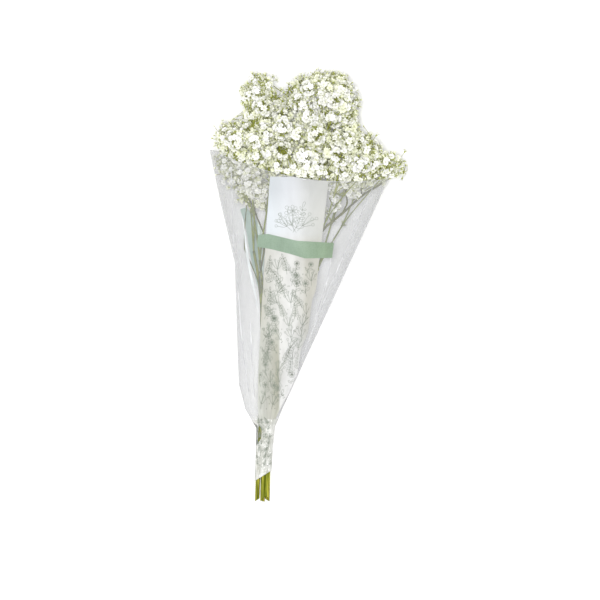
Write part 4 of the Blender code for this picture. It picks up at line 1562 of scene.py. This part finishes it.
def build_lines(finish, draw):
    """The line drawings of the print: garden motifs in staggered rows down the strip, and on the tail."""
    shape = Shape()
    motifs = [fern_lines(), daisy_lines(), berry_lines()]
    for kind, at, turn, size in BUNCH:
        for line in placed(motifs[kind], at, turn, size):
            add_line(shape, line, FINE_LINE, BUNCH_LIFT, LINE_STEP)
    for row, y in enumerate(STRIP_ROWS):
        left, right = strip_edges(y + 8)
        x = left + ROW_START + ROW_SHIFT * (row % 2)
        while x < right - 1:
            size = draw.uniform(*MOTIF_SIZES)
            motif, turn = motifs[draw.randrange(3)], draw.uniform(-MOTIF_TURN, MOTIF_TURN)
            lines = placed(motif, (x, y), turn, size) + dots(draw, (x + 6, y + 3), DOT_REACH)
            width = FOLDED_LINE if x > FOLD_X and y < FOLD_TOP else BROAD_LINE
            for line in lines:
                low, high = strip_edges(line[:, 1] / MM)
                across_at = line[:, 0] / MM
                if (across_at > low + EDGE_ROOM).all() and (across_at < high - EDGE_ROOM).all():
                    add_line(shape, line, width, LINE_LIFT, LINE_STEP)
            x += draw.uniform(*MOTIF_GAPS)
    for y in TAIL_ROWS:
        for x in TAIL_COLUMNS:
            motif, turn = motifs[draw.randrange(3)], draw.uniform(-TAIL_MOTIF_TURN, TAIL_MOTIF_TURN)
            lines = placed(motif, (x, y), turn, TAIL_MOTIF_SIZE)
            for line in lines + dots(draw, (x + 1.5, y + 2), TAIL_DOT_REACH):
                add_line(shape, line, FINE_LINE, TAIL_LINE_LIFT, TAIL_LINE_STEP)
    piece = shape.build("print_lines", [finish])


TAIL_GRID = (110, 90)
TAIL_START = -0.1  # place along the film, just past its cut end
TAIL_END = 2.4
TAIL_LENGTH = 2.45  # places along it for one unit of its texture
NOTCH_AT = 1.75  # the place where the print is widest open
NOTCH_TURN = 1.15
NOTCH_REACH = 0.5
GAP_TURN = 0.06  # by which the print's second edge stops short of the first
TAIL_SLANT = 34 * MM  # of the end's left side, for each place beyond the film's own end
CRINKLE = 0.35 * MM
FLOOR_ROOM = 0.15 * MM


def build_tail_print(finish):
    """The printed end of the film, wound tightly round the stems, open over the left stem at the neck."""
    rows, columns = TAIL_GRID
    place = np.linspace(TAIL_START, TAIL_END, rows)[:, None]
    notch = np.exp(-(((place - NOTCH_AT) / NOTCH_REACH) ** 4))
    start = math.pi - NOTCH_TURN * notch
    angle = start + np.linspace(0, 1, columns)[None] * (-math.pi - start + GAP_TURN)
    crinkle = CRINKLE * np.sin(23 * place + 5 * np.sin(3 * angle)) * np.sin(7 * angle + 3 * place)
    points = film_points(place, angle, TAIL_PRINT_LIFT + crinkle)
    points[..., 1] += np.minimum(place, 0) * TAIL_SLANT * (0.5 - 0.5 * np.cos(angle))
    points[..., 2] = np.maximum(points[..., 2], FLOOR_ROOM)
    shape = Shape()
    shape.add(points, paired(angle / math.tau, place / TAIL_LENGTH), grid_faces(rows, columns))
    piece = shape.build("tail_print", [finish])


SEAM_ROWS = 120
SEAM_START = 2.9  # place along the film
SEAM_TURN = 0.14  # from the film's side edges
SEAM_HALF_TURN = 0.022
FOLD_WIDTH = 1.1 * MM
RIM_SIDES = 180
RIM_R = 0.28 * MM


def build_creases(finish):
    """Folds, welded seams and the cut rim of the film, which show as paler lines: doubled film with painted
    highlights.
    """
    shape = Shape()
    for outline in FOLD_LINES:
        add_line(shape, np.array(outline) * MM, FOLD_WIDTH, FOLD_LIFT)
    place = np.linspace(SEAM_START, LAST, SEAM_ROWS)[:, None]
    for angle in (SEAM_TURN, math.pi - SEAM_TURN):
        band = np.array([[-SEAM_HALF_TURN, SEAM_HALF_TURN]]) / (0.4 + place / LAST)
        points = film_points(place, angle + band, SEAM_LIFT)
        shape.add(points, paired(place, np.array([[0.0, 1.0]])), grid_faces(SEAM_ROWS, 2))
    turns = np.arange(RIM_SIDES) * math.tau / RIM_SIDES
    add_tube(shape, film_points(LAST, turns, FILM / 2), np.full(RIM_SIDES, RIM_R), 4)
    piece = shape.build("film_creases", [finish])


def spray_finishes():
    lengthwise, spotted = (1, 0.3, 1), (1, 0.5, 1)
    return {
        "petal": petal_finish("petal", (0.70, 0.75, 0.34), (0.86, 0.88, 0.74), (0.92, 0.92, 0.905)),
        # Darker, greener petals: painted shade for the florets that lie below others
        "shaded_petal": petal_finish(
            "shaded_petal", (0.60, 0.65, 0.24), (0.82, 0.84, 0.58), (0.90, 0.91, 0.77)
        ),
        "calyx": green_finish("calyx", (0.27, 0.31, 0.045), (0.48, 0.52, 0.14), 500),
        "bud": bud_finish(),
        "stem": stem_finish(),
        # Below the flowers the branches get painted shade with an olive tint
        "branch": green_finish(
            "branch", (0.20, 0.22, 0.03), (0.40, 0.43, 0.09), 260, lengthwise, 0.48, (0.54, 0.62, 0.25)
        ),
        "shoot": green_finish("shoot", (0.05, 0.058, 0.001), (0.135, 0.145, 0.005), 240, lengthwise, 0.45),
        "wisp": green_finish("wisp", (0.16, 0.15, 0.05), (0.34, 0.33, 0.12), 300, spotted),
        "leaf": green_finish("leaf", (0.22, 0.27, 0.04), (0.42, 0.47, 0.12), 220, spotted),
        "cut": cut_finish(),
    }


def build_sprays(draw):
    finishes = spray_finishes()
    deep_draw = random.Random(DEEP_SEED)
    templates = [
        [floret_template(draw, openness, FLORET_LAYERS, CALYX_RINGS) for openness in OPENNESS],
        [floret_template(deep_draw, openness, DEEP_LAYERS, DEEP_RINGS) for openness in OPENNESS],
    ]
    sprays = grow_sprays()
    fillers = filler_clusters(sprays, draw)
    sites = [site for spray in sprays for _, _, site in spray.twigs]
    sites += [site for found in fillers for _, _, site in found]
    for spray, found in zip(sprays, fillers):
        build_spray(spray, found, sites, templates, finishes, draw)


def build_print(draw):
    """The printed patches, the highlight on a crease, the line drawings and the printed tail."""
    strip = (STRIP_LEFT, STRIP_RIGHT)
    film_patch("strip", strip, 40, 200, STRIP_LIFT, strip_finish())
    # The banner's shade towards its right end is painted shade
    banner = ink_and_painted_light_finish(
        "banner_print", (0.24, 0.325, 0.245), (0.275, 0.365, 0.28), (0.92, 0.98), shade=(0.88, 0.9, 0.8)
    )
    film_patch("banner", BANNER, 10, 60, BANNER_LIFT, banner)
    panel = ink_and_painted_light_finish("panel_print", (0.36, 0.52, 0.44), (0.47, 0.61, 0.55), (0.85, 0.98))
    film_patch("back_panel", PANEL, 14, 60, PANEL_LIFT, panel, under=True)
    # A painted highlight along a crease
    glint = ink_and_painted_light_finish("crease_glint", (0.74, 0.80, 0.81), (0.86, 0.90, 0.91), (0.3, 0.75))
    film_patch("crease_glint", GLINT, 5, 60, GLINT_LIFT, glint, tapered=True)
    lines = ink_and_painted_light_finish("line_print", (0.17, 0.20, 0.155), (0.25, 0.285, 0.235), (0.6, 0.85))
    build_lines(lines, draw)
    build_tail_print(ink_and_painted_light_finish("tail_ink", (0.52, 0.53, 0.48), (0.70, 0.70, 0.675), (0.75, 0.97), 160))


def main():
    draw = random.Random(LOOKS_SEED)
    build_sprays(draw)
    build_film(film_finish("clear_film", 0.21, 0.28))
    build_print(draw)
    build_creases(weld_and_highlight_finish())
    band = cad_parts["rubber_band"]
    band.data.materials.clear()
    band.data.materials.append(rubber_finish())
    make_studio()


main()
